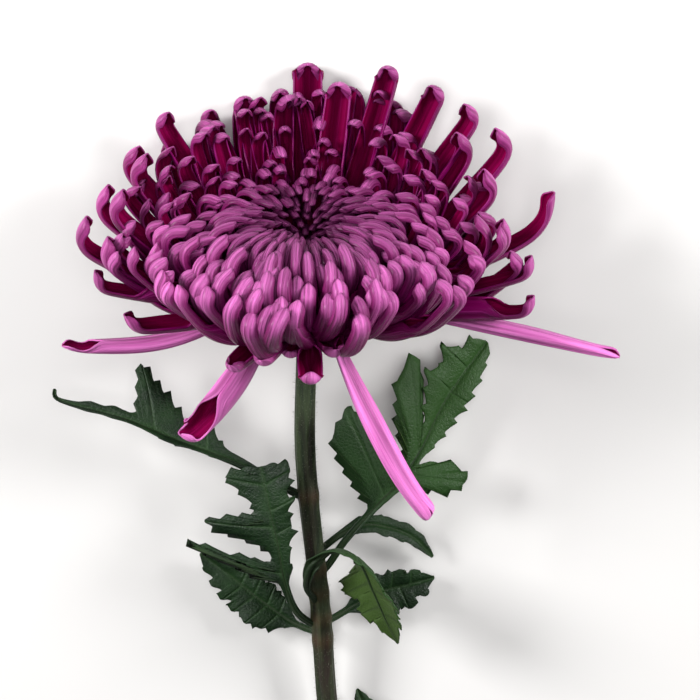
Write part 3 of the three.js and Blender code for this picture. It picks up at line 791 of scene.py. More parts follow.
@dataclass(frozen=True)
class Floret:
    """One floret: a channelled ribbon from its seat in the head, hooked at its tip.

    Angles are in degrees and lengths in millimetres. seat and shoulder are (radius, height) in the
    bloom's frame, mouth is the share of the length where a quill opens (0 for an open channel), and
    opening is how far its section wraps round there, reached over gape.
    """

    key: int
    azimuth: float
    shoulder: tuple[float, float]
    body: float
    hook: float
    start: float
    width: float
    mouth: float = 0.0
    gape: float = 0.12
    seat: tuple[float, float] = (11, 0)
    sweep: float = 0.0
    roll: float = 0.0
    opening: float = 150.0
    hood: float = 50.0
    flat: float = 1.0
    foot: float = 0.42
    taper: float = 0.2
    blunt: float = 0.9
    flutes: float = 0.0
    pale: float = 0.0
    row: float = 1.0

    def heading(self, u: np.ndarray) -> np.ndarray:
        """How far the back has bent at shares u of its length, in radians."""
        body = math.radians(self.body) * smooth((u - 0.1) / 0.75)
        return body + math.radians(self.hook) * smooth((u - self.start) / (1 - self.start))

    def back(self, u: np.ndarray) -> tuple[np.ndarray, np.ndarray, np.ndarray, float]:
        """The line of the floret's back.

        Args:
            u: shares of its length.

        Returns:
            Radius, height and heading at each share, and the floret's length.
        """
        steps = np.arange(CURVE_STEPS + 1) / CURVE_STEPS
        angle = self.heading((steps[1:] + steps[:-1]) / 2)
        r = np.concatenate([[0], np.cumsum(np.cos(angle))]) / CURVE_STEPS
        z = np.concatenate([[0], np.cumsum(np.sin(angle))]) / CURVE_STEPS
        middle = (1 + self.start) / 2
        shoulder_r, shoulder_z = np.interp(middle, steps, r), np.interp(middle, steps, z)
        dr, dz = self.shoulder[0] - self.seat[0], self.shoulder[1] - self.seat[1]
        length = math.hypot(dr, dz) / math.hypot(shoulder_r, shoulder_z)
        turn = math.atan2(dz, dr) - math.atan2(shoulder_z, shoulder_r)
        rs, zs = np.interp(u, steps, r), np.interp(u, steps, z)
        return (
            self.seat[0] + length * (rs * math.cos(turn) - zs * math.sin(turn)),
            self.seat[1] + length * (rs * math.sin(turn) + zs * math.cos(turn)),
            self.heading(u) + turn,
            length,
        )

    def half_width(self, u: np.ndarray, length: float) -> np.ndarray:
        """Half the floret's width at shares u of its length.

        Args:
            u: shares of its length.
            length: its length in millimetres.

        Returns:
            Half widths in millimetres.
        """
        swell = self.foot + (1 - self.foot) * smooth(u / SWELLS_TO)
        taper = 1 - self.taper * smooth((u - TAPERS_FROM) / (1 - TAPERS_FROM))
        tip = 1 - 0.55 * self.width / length
        end = np.sqrt(1 - self.blunt * np.clip((u - tip) / (1 - tip), 0, 1) ** 2.6)
        return np.maximum(swell * taper * end * self.width / 2, LEAST_HALF_WIDTH)

    def wrap(self, u: np.ndarray) -> np.ndarray:
        """How far round the floret's section goes.

        Args:
            u: shares of its length.

        Returns:
            The angle at each share, in radians.
        """
        if self.mouth > 0:
            wrap = QUILL_WRAP + (self.opening - QUILL_WRAP) * smooth((u - self.mouth) / self.gape)
        else:
            wrap = FOOT_WRAP + (self.opening - FOOT_WRAP) * smooth(u / 0.5)
        hooded = min(MOST_HOODED, self.opening + self.hood)
        hooding = smooth((u - HOOD_FROM) / (1 - HOOD_FROM)) * (hooded > wrap)
        return np.radians(wrap + (hooded - wrap) * hooding)

    def crest(self, u: np.ndarray) -> np.ndarray:
        """How near shares u are to the top of the hook, from 0 to 1, where its painted highlight sits."""
        return np.exp(-(((u - self.start - 0.5 * (1 - self.start)) / CREST_SPAN) ** 2))

    def paleness_and_painted_highlight(self) -> float:
        """How strong the painted highlight on the top of the hook is: most in the outer rows at the front,
        where the light falls.
        """
        front = -math.sin(math.radians(self.azimuth))
        return CREST_PAINTED_HIGHLIGHT * min(1.0, 0.3 + 1.4 * self.row) * (0.65 + 0.35 * front)

    def surface(self, rows: int, columns: int) -> np.ndarray:
        """The floret's skin, in the flower's frame.

        Args:
            rows: how many points along it.
            columns: how many points across it.

        Returns:
            Points in millimetres, shaped (rows, columns, 3).
        """
        u = np.linspace(0, 1, rows)
        u = u + 0.35 * u * (1 - u)
        r, z, angle, length = self.back(u)
        turn = np.radians(self.azimuth + self.sweep * u**1.5)
        middle = from_bloom(np.stack([r * np.cos(turn), r * np.sin(turn), z], 1))
        middle = lifted(middle, SURFACE_GAP, SURFACE_SOFTNESS)
        along = unit(np.gradient(middle, axis=0))
        normal = np.stack([-np.sin(angle) * np.cos(turn), -np.sin(angle) * np.sin(turn), np.cos(angle)], 1)
        inward = from_bloom(normal) - from_bloom(np.zeros(3))
        inward = unit(inward - (inward * along).sum(1)[:, None] * along)
        across = np.cross(inward, along)
        roll = np.radians(self.roll * u)[:, None]
        inward, across = (
            inward * np.cos(roll) + across * np.sin(roll),
            across * np.cos(roll) - inward * np.sin(roll),
        )
        wrap = self.wrap(u)
        radius = self.half_width(u, length) / np.sin(np.minimum(wrap / 2, math.pi / 2))
        side = np.linspace(-1, 1, columns)[None, :] * wrap[:, None] / 2
        fluted = radius[:, None] * (1 + self.flutes * np.cos(6 * side))
        x = fluted * np.sin(side)
        depth = fluted * (1 - np.cos(side)) * self.flat
        skin = middle[:, None] + x[..., None] * across[:, None] + depth[..., None] * inward[:, None]
        return lifted(skin, SKIN_GAP, SKIN_SOFTNESS)


# The florets that stand out from the spiral, the long quills first
QUILLS = 4
STRAGGLERS: Sequence[Floret] = (
    Floret(901, -62, (41, -41), -18, 10, 0.6, 6.6, 0.93, seat=(12.5, 3.2), sweep=20, opening=300,
           flat=0.55, taper=0.1, flutes=0.05, pale=0.8),
    Floret(902, -129, (44.5, -25), 14, 85, 0.86, 7.8, 0.6, 0.24, seat=(12, 3), sweep=-10, roll=30,
           opening=165, taper=0.1, foot=0.42, flutes=0.03, pale=0.78),
    Floret(903, -13, (84.5, -4.6), 0, 6, 0.85, 6.4, 0.9, seat=(14, 3), opening=260, flat=0.55,
           taper=0.3, flutes=0.05, pale=0.8),
    Floret(904, -167, (66, -6), 36, 20, 0.84, 6, 0.8, seat=(13, 2), flat=0.7, flutes=0.04, pale=0.78),
    Floret(905, -156, (52, 5), 10, 70, 0.76, 8, 0.45),
    Floret(906, -171, (59, 11.5), 12, 85, 0.8, 7, 0.6),
    Floret(907, 13, (71, 17), 24, 62, 0.7, 7.5, 0.5),
    Floret(908, -15, (65, 8), 12, 85, 0.82, 7, 0.68),
    Floret(909, -8, (64, 16), 16, 85, 0.82, 7, 0.5),
    Floret(910, -87, (43, 2), 14, 130, 0.82, 7, 0.5, taper=0.1),
    Floret(911, 90, (58, 49), 8, 130, 0.86, 9.2, 0.3, opening=205, taper=0.06),
    Floret(912, 104, (48, 43), 30, 120, 0.76, 7.6, 0.35, sweep=-6, roll=-25, taper=0.1),
    Floret(913, 78, (48, 48), 12, 128, 0.84, 8.2, 0.35, opening=205, taper=0.1),
    Floret(914, 64, (57, 51), 12, 128, 0.86, 7.6, 0.35, opening=205, taper=0.1),
    Floret(915, 50, (61, 46), 12, 122, 0.85, 7.6, 0.35, opening=195, taper=0.1),
    Floret(916, 38, (63, 42), 15, 110, 0.82, 7.4, 0.4, opening=185),
    Floret(917, 26, (66, 37), 30, 100, 0.78, 7.0, 0.4, opening=185),
    Floret(918, 112, (53, 42), 15, 122, 0.84, 7.6, 0.35, opening=195, taper=0.1),
    Floret(919, 122, (58, 37), 15, 120, 0.84, 7.2, 0.35, opening=185),
    Floret(920, 137, (60, 39), 18, 112, 0.82, 7.2, 0.4, opening=185),
    Floret(921, 152, (60, 32), 26, 105, 0.76, 8.2, 0.4),
    Floret(922, 166, (62, 24), 30, 95, 0.74, 8, 0.45),
    Floret(923, 179, (64.5, 20.5), 30, 95, 0.74, 8, 0.45),
    Floret(924, -107, (38, 3), 10, 60, 0.8, 7.2, 0.42, opening=200),
    Floret(925, -76, (36, 5), 10, 75, 0.8, 7, 0.42, opening=200),
    Floret(926, -97, (31, 2), 6, 95, 0.8, 7, 0.4, opening=190),
    Floret(927, -118, (41, 1), 10, 70, 0.8, 6.6, 0.45, opening=200),
    Floret(928, 158, (54, 33), 34, 92, 0.74, 7.6, 0.4, opening=180),
    Floret(929, 172, (56, 27), 34, 92, 0.74, 7.6, 0.4, opening=180),
    Floret(930, 187, (57, 19), 30, 85, 0.74, 7.4, 0.45, opening=180),
    Floret(931, 33, (57, 35), 30, 95, 0.76, 7.6, 0.4, opening=180),
    Floret(932, 19, (58, 28), 30, 92, 0.75, 7.6, 0.4, opening=180),
    Floret(933, 2, (58, 20), 30, 85, 0.75, 7.4, 0.45, opening=180),
)


class Ring(Enum):
    """The parts of the bloom, each with its share of the spiral and the faces of its florets."""

    DISC = ("disc_florets", 0.0, 0.42, 18, 6)
    INNER = ("inner_row_florets", 0.42, 0.72, 26, 8)
    OUTER = ("outer_row_florets", 0.72, 1.0, 30, 10)

    def __init__(self, piece: str, first: float, last: float, along: int, across: int) -> None:
        """Names the ring's values."""
        self.piece, self.first, self.last, self.along, self.across = piece, first, last, along, across


@dataclass
class Bloom:
    """The incurved bloom: a head, a spiral of florets and those that stand out from it."""

    petal_thickness: float = 0.45
    head_sides: int = 96
    back: bpy.types.Material = field(default_factory=PETAL_BACK.material)
    face: bpy.types.Material = field(default_factory=PETAL_FACE.material)
    head: bpy.types.Material = field(default_factory=HEAD_SKIN.material)

    def spiral_floret(self, i: int) -> Floret:
        """The floret that stands i golden angles round the spiral.

        Args:
            i: its place, from the middle outwards.

        Returns:
            The floret.
        """
        share = (i + 0.5) / FLORETS
        wild = float(ramp(share, WILDNESS))
        azimuth = -(i * GOLDEN_ANGLE + 5 * wild * spread(i, 1))
        front = -math.sin(math.radians(azimuth))
        edge = float(smooth((share - 0.45) / 0.5))
        narrowing = 1 - FRONT_NARROWING * edge * max(front, 0)
        lift = BACK_LIFT * edge * float(smooth((-front - 0.1) / 1.1)) + FRONT_LIFT * edge * max(front, 0)
        widening = 0.12 * spread(i, 8) + SIDE_WIDENING * edge * (1 - front**2)
        return Floret(
            key=i,
            azimuth=azimuth,
            seat=(float(ramp(share, SEAT_R)), float(ramp(share, SEAT_Z))),
            shoulder=(
                float(ramp(share, SHOULDER_R)) * (1 + 0.06 * wild * spread(i, 2)) * narrowing,
                float(ramp(share, SHOULDER_Z)) + 1.8 * wild * spread(i, 3) + lift,
            ),
            body=float(ramp(share, BODY_BEND)) * (1 + 0.2 * spread(i, 5)),
            hook=float(ramp(share, HOOK_BEND)) * (1 + 0.2 * wild * spread(i, 6)),
            start=float(ramp(share, HOOK_START)) + 0.04 * spread(i, 7),
            width=float(ramp(share, WIDTH)) * (1 + widening),
            mouth=0.48 + 0.14 * spread(i, 4) if share > 0.6 else 0.0,
            sweep=8 * wild * spread(i, 9),
            roll=14 * wild * spread(i, 10),
            opening=170 + 20 * spread(i, 11) - 25 * edge,
            taper=float(ramp(share, TAPER)),
            row=share,
        )

    def blades(self, florets: Sequence[Floret], along: int, across: int, name: str) -> bpy.types.Object:
        """Models florets and joins them into one piece.

        Args:
            florets: which ones.
            along: faces along each one.
            across: faces across each one.
            name: the piece's name.

        Returns:
            The piece.
        """
        sheet = Sheet(along, across)
        made = []
        for floret in florets:
            blade = sheet.blade(floret.surface(along + 1, across + 1))
            share = sheet.rows / along
            mark(blade, "tone", draw(floret.key, 12))
            mark(blade, "row", floret.row)
            # The pale attribute holds the painted highlight on the hook's top, or the floret's own
            # paleness where that is more
            mark(blade, "pale", np.maximum(floret.pale, floret.paleness_and_painted_highlight() * floret.crest(share)))
            made.append(blade)
        sheet.discard()
        piece = join(made, name)
        dress(piece, self.face, self.back)
        thicken(piece, self.petal_thickness, 1.0, rim=1)
        smooth_shading(piece)
        return hand_over(piece, "petal", "bloom")

    def build(self) -> None:
        """Models the head, the rings and the florets that stand out."""
        head = on_bloom_axis(HEAD_PROFILE, self.head_sides, "bloom_head")
        for name, value in (("tone", 0.5), ("row", 1.0), ("pale", 0.0)):
            mark(head, name, value)
        dress(head, self.head)
        smooth_shading(head)
        hand_over(head, "petal", "bloom")
        for ring in Ring:
            places = range(round(ring.first * FLORETS), round(ring.last * FLORETS))
            self.blades([self.spiral_floret(i) for i in places], ring.along, ring.across, ring.piece)
        self.blades(STRAGGLERS[:QUILLS], 44, 28, "drooping_quills")
        self.blades(STRAGGLERS[QUILLS:], 40, 12, "straggling_florets")


@dataclass
class Cup:
    """The green cup under the bloom, with its rows of pointed bracts."""

    sides: int = 64
    bract_thickness: float = 0.45
    skin: bpy.types.Material = field(default_factory=BRACT_SKIN.material)

    def bract(self, turn: float, start: Point, end: Point, width: float) -> np.ndarray:
        """A pointed scale that lies on the cup.

        Args:
            turn: its place round the cup, in radians.
            start: (radius, height, 0) of its foot.
            end: (radius, height, how far its tip stands off).
            width: its greatest width.

        Returns:
            Points in millimetres, shaped (11, 7, 3).
        """
        u = np.linspace(0, 1, 11)[:, None]
        side = np.linspace(-1, 1, 7)[None, :]
        half = width / 2 * (0.65 + 0.5 * np.sin(math.pi * u**0.8)) * np.sqrt(np.clip(1 - u**2.4, 0.004, 1))
        r = start[0] + (end[0] - start[0]) * u + end[2] * u**3 - 0.25 * side**2
        z = start[1] + (end[1] - start[1]) * u - 0.9 * np.sin(math.pi * u) + 0.35 * side**2 * (1 - u)
        angle = turn + side * half / np.maximum(r, 1)
        return from_bloom(np.stack([r * np.cos(angle), r * np.sin(angle), z + 0 * side], -1))

    def build(self) -> None:
        """Models the cup and its bracts."""
        sheet = Sheet(10, 6)
        rows = (
            (8, (3.8, -7.9, 0), (9.6, -2.6, 0.5), 4.4),
            (10, (6.0, -6.0, 0), (11.0, -0.9, 0.7), 4.6),
            (13, (8.0, -3.6, 0), (11.8, 0.7, 0.6), 4.2),
        )
        scales = []
        for k, (count, start, end, width) in enumerate(rows):
            for i in range(count):
                turn = (i + k / 2 + 0.12 * spread(i, 20 + k)) * 2 * math.pi / count
                scales.append(sheet.blade(self.bract(turn, start, end, width)))
        sheet.discard()
        bracts = join(scales, "bracts")
        dress(bracts, self.skin)
        thicken(bracts, self.bract_thickness, 1.0)
        piece = join([bracts, on_bloom_axis(CUP_PROFILE, self.sides, "cup")], "bract_cup")
        smooth_shading(piece)
        hand_over(piece, "bract", "cup")


@dataclass
class Stem:
    """The ribbed stem with its cut end and its down."""

    radius: float = 3.25
    ribs: int = 6
    rib_height: float = 0.07
    rings: int = 150
    sides: int = 60
    hairs: int = 2600
    hair_radius: float = 0.035
    fine_ribs: int = 17
    fine_height: float = 0.018
    swelling: float = 0.09
    rim_width: float = 0.7
    pith_depth: float = 0.3
    joints: Sequence[float] = (0.295, 0.43, 0.475, 0.52, 0.56, 0.78)
    path: Path = field(default_factory=lambda: Path(STEM_PATH))
    skin: bpy.types.Material = field(default_factory=StemFinish().material)
    pith: bpy.types.Material = field(default_factory=PITH.material)
    down: bpy.types.Material = field(default_factory=DOWN.material)

    def frame_at(self, u: np.ndarray) -> tuple[np.ndarray, np.ndarray, np.ndarray, np.ndarray]:
        """The stem's own directions.

        Args:
            u: shares of its length.

        Returns:
            Its middle at each share, its heading, and the directions to its right and up.
        """
        along = self.path.heading(u)
        right = unit(np.cross(along, np.array([0.0, 0.0, 1.0])))
        return self.path.at(u), along, right, np.cross(right, along)

    def radius_at(self, u: np.ndarray, turn: np.ndarray) -> np.ndarray:
        """How far the skin stands from the middle.

        Args:
            u: shares of the stem's length.
            turn: the turns round it, in radians.

        Returns:
            Millimetres.
        """
        ribs = self.rib_height * np.cos(self.ribs * turn + 1.5 * np.sin(7 * u))
        fine = self.fine_height * np.cos(self.fine_ribs * turn + 6 * np.sin(4 * u))
        return self.radius * (1 + ribs + fine + self.swelling * self.joint_at(u, 0.012))

    def joint_at(self, u: np.ndarray, span: float) -> np.ndarray:
        """How near shares u are to one of the joints, from 0 to 1, falling off over a span."""
        return sum(np.exp(-(((u - joint) / span) ** 2)) for joint in self.joints)

    def build_skin(self) -> None:
        """Models the stem itself."""
        rod = Rod(self.rings, self.sides)
        middle, _, right, up = self.frame_at(rod.shares)
        radius = self.radius_at(rod.shares, rod.turns)
        piece = join([rod.stalk(middle, up, right, radius)], "flower_stem")
        place(piece, self.on_surface(piece))
        mark(piece, "rib", np.cos(self.ribs * rod.turns + 1.5 * np.sin(7 * rod.shares)))
        mark(piece, "joint", self.joint_at(rod.shares, 0.013))
        rod.discard()
        dress(piece, self.skin, self.pith)
        self.cut_end(piece)
        smooth_shading(piece)
        select_only(piece)
        bpy.ops.object.shade_smooth_by_angle(angle=math.radians(50))
        hand_over(piece, "stem", "stem")

    def on_surface(self, piece: bpy.types.Object) -> np.ndarray:
        """Keeps the stem above the surface that it lies on.

        Args:
            piece: the stem.

        Returns:
            Its points in millimetres, with none below the surface.
        """
        points = points_of(piece) / MM - SET_DOWN
        points[:, 2] = np.maximum(points[:, 2], 0.1)
        return points

    def cut_end(self, piece: bpy.types.Object) -> None:
        """Sinks the pale pith in the cut end, inside its rim.

        Args:
            piece: the stem.
        """
        last = min(piece.data.polygons, key=lambda face: face.center.y)
        for face in piece.data.polygons:
            face.select = face.index == last.index
        select_only(piece)
        bpy.ops.object.mode_set(mode="EDIT")
        bpy.ops.mesh.select_mode(type="FACE")
        bpy.ops.mesh.inset(thickness=self.rim_width * MM, depth=0)
        bpy.ops.mesh.inset(thickness=0.25 * MM, depth=-self.pith_depth * MM)
        bpy.ops.object.mode_set(mode="OBJECT")
        end = min(face.center.y for face in piece.data.polygons)
        for face in piece.data.polygons:
            if len(face.vertices) > 4 and face.center.y < end + 0.001:
                face.material_index = 1

    def build_down(self) -> None:
        """Models one short hair and sets copies of it over the stem."""
        bpy.ops.mesh.primitive_cone_add(vertices=3, radius1=1, radius2=0, depth=1, end_fill_type="NGON")
        pattern = bpy.context.object
        shape = points_of(pattern)
        hairs = []
        for i in range(self.hairs):
            u = np.array([0.02 + 0.96 * draw(i, 31)])
            turn = np.array([2 * math.pi * draw(i, 32)])
            middle, along, right, up = (row[0] for row in self.frame_at(u))
            out = math.cos(turn[0]) * up + math.sin(turn[0]) * right
            foot = middle + out * (self.radius_at(u, turn)[0] - 0.05)
            lean = unit(out * (0.8 + 0.3 * spread(i, 33)) - along * 0.7 * draw(i, 34))
            height = 0.5 + 0.5 * draw(i, 35)
            side = unit(np.cross(lean, along))
            third = np.cross(side, lean)
            if foot[2] < 0.4:
                continue
            across = self.hair_radius * (shape[:, :1] * third + shape[:, 1:2] * side)
            hairs.append(copied(pattern, foot + across + height * (shape[:, 2:] + 0.5) * lean))
        bpy.data.objects.remove(pattern)
        piece = join(hairs, "stem_down")
        dress(piece, self.down)
        hand_over(piece, "stem", "stem")

    def build(self) -> None:
        """Models the stem and its down."""
        self.build_skin()
        self.build_down()


@dataclass
class Leaf:
    """One lobed leaf with its stalk, midrib, side veins and teeth.

    outline holds (share of the length, reach to the left, reach to the right). face and face_tip say
    which way its upper face looks at the stem and at the tip. rise is how far its left and right
    halves rise from that face in degrees, lean how far its lobes lean towards the tip as (share of
    the length, lean on the left, lean on the right), and wave the height of its waves.
    """

    piece: str
    node: str
    midrib: Sequence[Point]
    face: Point
    face_tip: Point
    rise: tuple[float, float]
    lean: Sequence[Point]
    wave: float
    outline: Sequence[Point]
    # How strongly the lit part towards the tip is painted bright, a painted light
    painted_light: float = 0.0
    tooth: float = 1.9
    tooth_pitch: float = 5.2
    stalk_radius: float = 1.0
    thickness: float = 0.4
    columns: int = 20
    row_step: float = 0.75
    sag: float = 0.07
    vein_depth: float = 0.22
    midrib_width: float = 0.55
    lobe_reach: float = 4.5
    lobe_span: int = 6
    path: Path = field(init=False)
    pull: np.ndarray = field(init=False)

    def __post_init__(self) -> None:
        """Runs the midrib through its points and finds the way from its foot into the stem."""
        self.path = Path(self.midrib)
        stem, foot = Path(STEM_PATH).table, self.path.table[0]
        self.pull = PULL_DEPTH * (stem[np.argmin(np.linalg.norm(stem - foot, axis=1))] - foot)

    def reach(self, u: np.ndarray, side: int) -> np.ndarray:
        """How far the blade reaches at shares u, on the left (1) or the right (2)."""
        stations = ((0.0, MIDRIB_REACH, MIDRIB_REACH), *self.outline)
        return ramp(u, [(s[0], s[side]) for s in stations])

    def stations(self) -> np.ndarray:
        """Spaces the blade's rows, closer where its edge runs steeply.

        Returns:
            Their shares of the midrib's length.
        """
        fine = np.linspace(0.0, 1.0, 2000)
        left, right = self.reach(fine, 1), self.reach(fine, 2)
        step = self.path.length * np.diff(fine) + 0.6 * (np.abs(np.diff(left)) + np.abs(np.diff(right)))
        walked = np.concatenate([[0], np.cumsum(step)])
        rows = int(walked[-1] / self.row_step)
        return np.interp(np.linspace(0, walked[-1], rows), walked, fine)

    def edge(self, u: np.ndarray, side: int) -> tuple[np.ndarray, np.ndarray]:
        """The toothed edge of one half, measured from the midrib.

        Args:
            u: shares of the midrib's length.
            side: 1 for the left half and 2 for the right.

        Returns:
            How far forward and how far out the edge is at each share.
        """
        out = self.reach(u, side)
        out = np.convolve(np.pad(out, 2, mode="edge"), np.array([1, 2, 3, 2, 1]) / 9, mode="valid")
        forward = ramp(u, [(s[0], s[side]) for s in self.lean]) * (out - MIDRIB_REACH)
        line = np.stack([u * self.path.length + forward, out], 1)
        run = np.gradient(line, axis=0)
        run /= np.maximum(np.linalg.norm(run, axis=1, keepdims=True), 1e-6)
        walked = np.concatenate([[0], np.cumsum(np.linalg.norm(np.diff(line, axis=0), axis=1))])
        steps = walked / self.tooth_pitch + 0.37 * side
        uneven = np.array([0.55 + 0.9 * draw(int(step), 40 + side) for step in steps])
        height = self.tooth * uneven * ((steps % 1.0) ** 1.7 - 0.3) * smooth((out - 1.6) / 4)
        return forward - run[:, 1] * height, out + run[:, 0] * height

    def frames(self, u: np.ndarray) -> tuple[np.ndarray, np.ndarray, np.ndarray, np.ndarray]:
        """The leaf's own directions.

        Args:
            u: shares of the midrib's length.

        Returns:
            The midrib's point at each share, its heading, and where the upper face and the left look.
        """
        along = self.path.heading(u)
        face = np.array(self.face) + (np.array(self.face_tip) - np.array(self.face)) * u[:, None]
        face = unit(face - (face * along).sum(1)[:, None] * along)
        middle = self.path.at(u) + self.pull * ((1 - u) ** PULL_POWER)[:, None]
        return middle, along, face, np.cross(face, along)

    def half(self, u: np.ndarray, v: np.ndarray, side: int) -> np.ndarray:
        """The upper face of one half of the blade, before its veins are sunk.

        Args:
            u: shares of the midrib's length.
            v: shares of the way from the midrib to the edge.
            side: 1 for the left half and 2 for the right.

        Returns:
            Points in millimetres, shaped (len(u), len(v), 3).
        """
        middle, along, face, left = self.frames(u)
        sign = 3 - 2 * side
        forward, out = self.edge(u, side)
        rise = math.radians(self.rise[side - 1])
        wave = self.wave * np.sin(6 * math.pi * u + sign) * np.minimum(1, out / 12)
        edge = (
            left * (sign * out * math.cos(rise))[:, None]
            + face * (out * math.sin(rise) + wave)[:, None]
            + along * forward[:, None]
        )
        sag = self.sag * out[:, None] * np.sin(math.pi * v)
        return middle[:, None] + v[:, None] * edge[:, None] + face[:, None] * sag[..., None]

    def lobe_tips(self, u: np.ndarray, side: int) -> list[int]:
        """Finds the tips of the lobes on one side.

        Args:
            u: shares of the midrib's length, one a row.
            side: 1 for the left half and 2 for the right.

        Returns:
            The rows that have a tip.
        """
        reach, span = self.reach(u, side), self.lobe_span
        return [
            k
            for k in range(span, len(u) - span)
            if reach[k] > max(self.lobe_reach, reach[k - span])
            and reach[k] == reach[k - span : k + span + 1].max()
        ]

    def blade(self) -> bpy.types.Object:
        """Models the toothed blade, with its veins sunk in its upper face.

        Returns:
            The blade, not yet thickened.
        """
        u = self.stations()
        v = np.linspace(-1, 1, self.columns + 1)
        surface, vein = np.zeros((len(u), len(v), 3)), np.zeros((len(u), len(v)))
        for side, mine in ((1, v >= 0), (2, v < 0)):
            share = np.abs(v[mine])
            surface[:, mine] = half = self.half(u, share, side)
            midrib = np.exp(-((share * self.reach(u, side)[:, None] / self.midrib_width) ** 2))
            width = 0.5 * (1.15 - share)
            gaps = (np.linalg.norm(half - half[k], axis=2) for k in self.lobe_tips(u, side))
            veins = [midrib, *(0.85 * np.exp(-((gap / width) ** 2)) for gap in gaps)]
            vein[:, mine] = np.maximum.reduce(veins)
        face = self.frames(u)[2]
        surface += face[:, None] * (0.5 * self.thickness - self.vein_depth * vein)[..., None]
        surface = lifted(surface, SKIN_GAP + self.thickness, SKIN_SOFTNESS)
        sheet = Sheet(len(u) - 1, self.columns)
        obj = sheet.blade(surface)
        mark(obj, "vein", vein[sheet.rows, sheet.columns])
        # Painted light, growing from a fifth to three fifths of the way along
        mark(obj, "painted_light", self.painted_light * smooth((u[sheet.rows] - 0.2) / 0.4))
        sheet.discard()
        return obj

    def stalk(self) -> bpy.types.Object:
        """Models the stalk, which runs on under the blade as its midrib.

        Returns:
            The stalk.
        """
        rod = Rod(48, 12)
        u = rod.shares
        middle, along, face, left = self.frames(u)
        stalk_end = self.outline[0][0]
        flare = 1 + 0.35 * np.exp(-((u / 0.03) ** 2))
        radius = self.stalk_radius * flare * (1 - 0.82 * smooth(u - stalk_end) ** 0.6)
        sink = np.interp(u, [0, stalk_end, stalk_end + 0.12, 1], [0.5, 0.5, 0.75, 0.85]) * radius
        middle = middle - face * sink[:, None]
        obj = rod.stalk(middle, face, -left, radius)
        mark(obj, "vein", 0.6)
        mark(obj, "painted_light", 0.0)
        rod.discard()
        return obj

    def build(self, upper: bpy.types.Material, under: bpy.types.Material) -> None:
        """Models the leaf and dresses it.

        Args:
            upper: the finish of its upper face.
            under: the finish of its underside.
        """
        blade = self.blade()
        dress(blade, upper, under)
        thicken(blade, self.thickness, -1.0)
        stalk = self.stalk()
        dress(stalk, under)
        piece = join([blade, stalk], self.piece)
        smooth_shading(piece)
        hand_over(piece, "leaf", self.node)


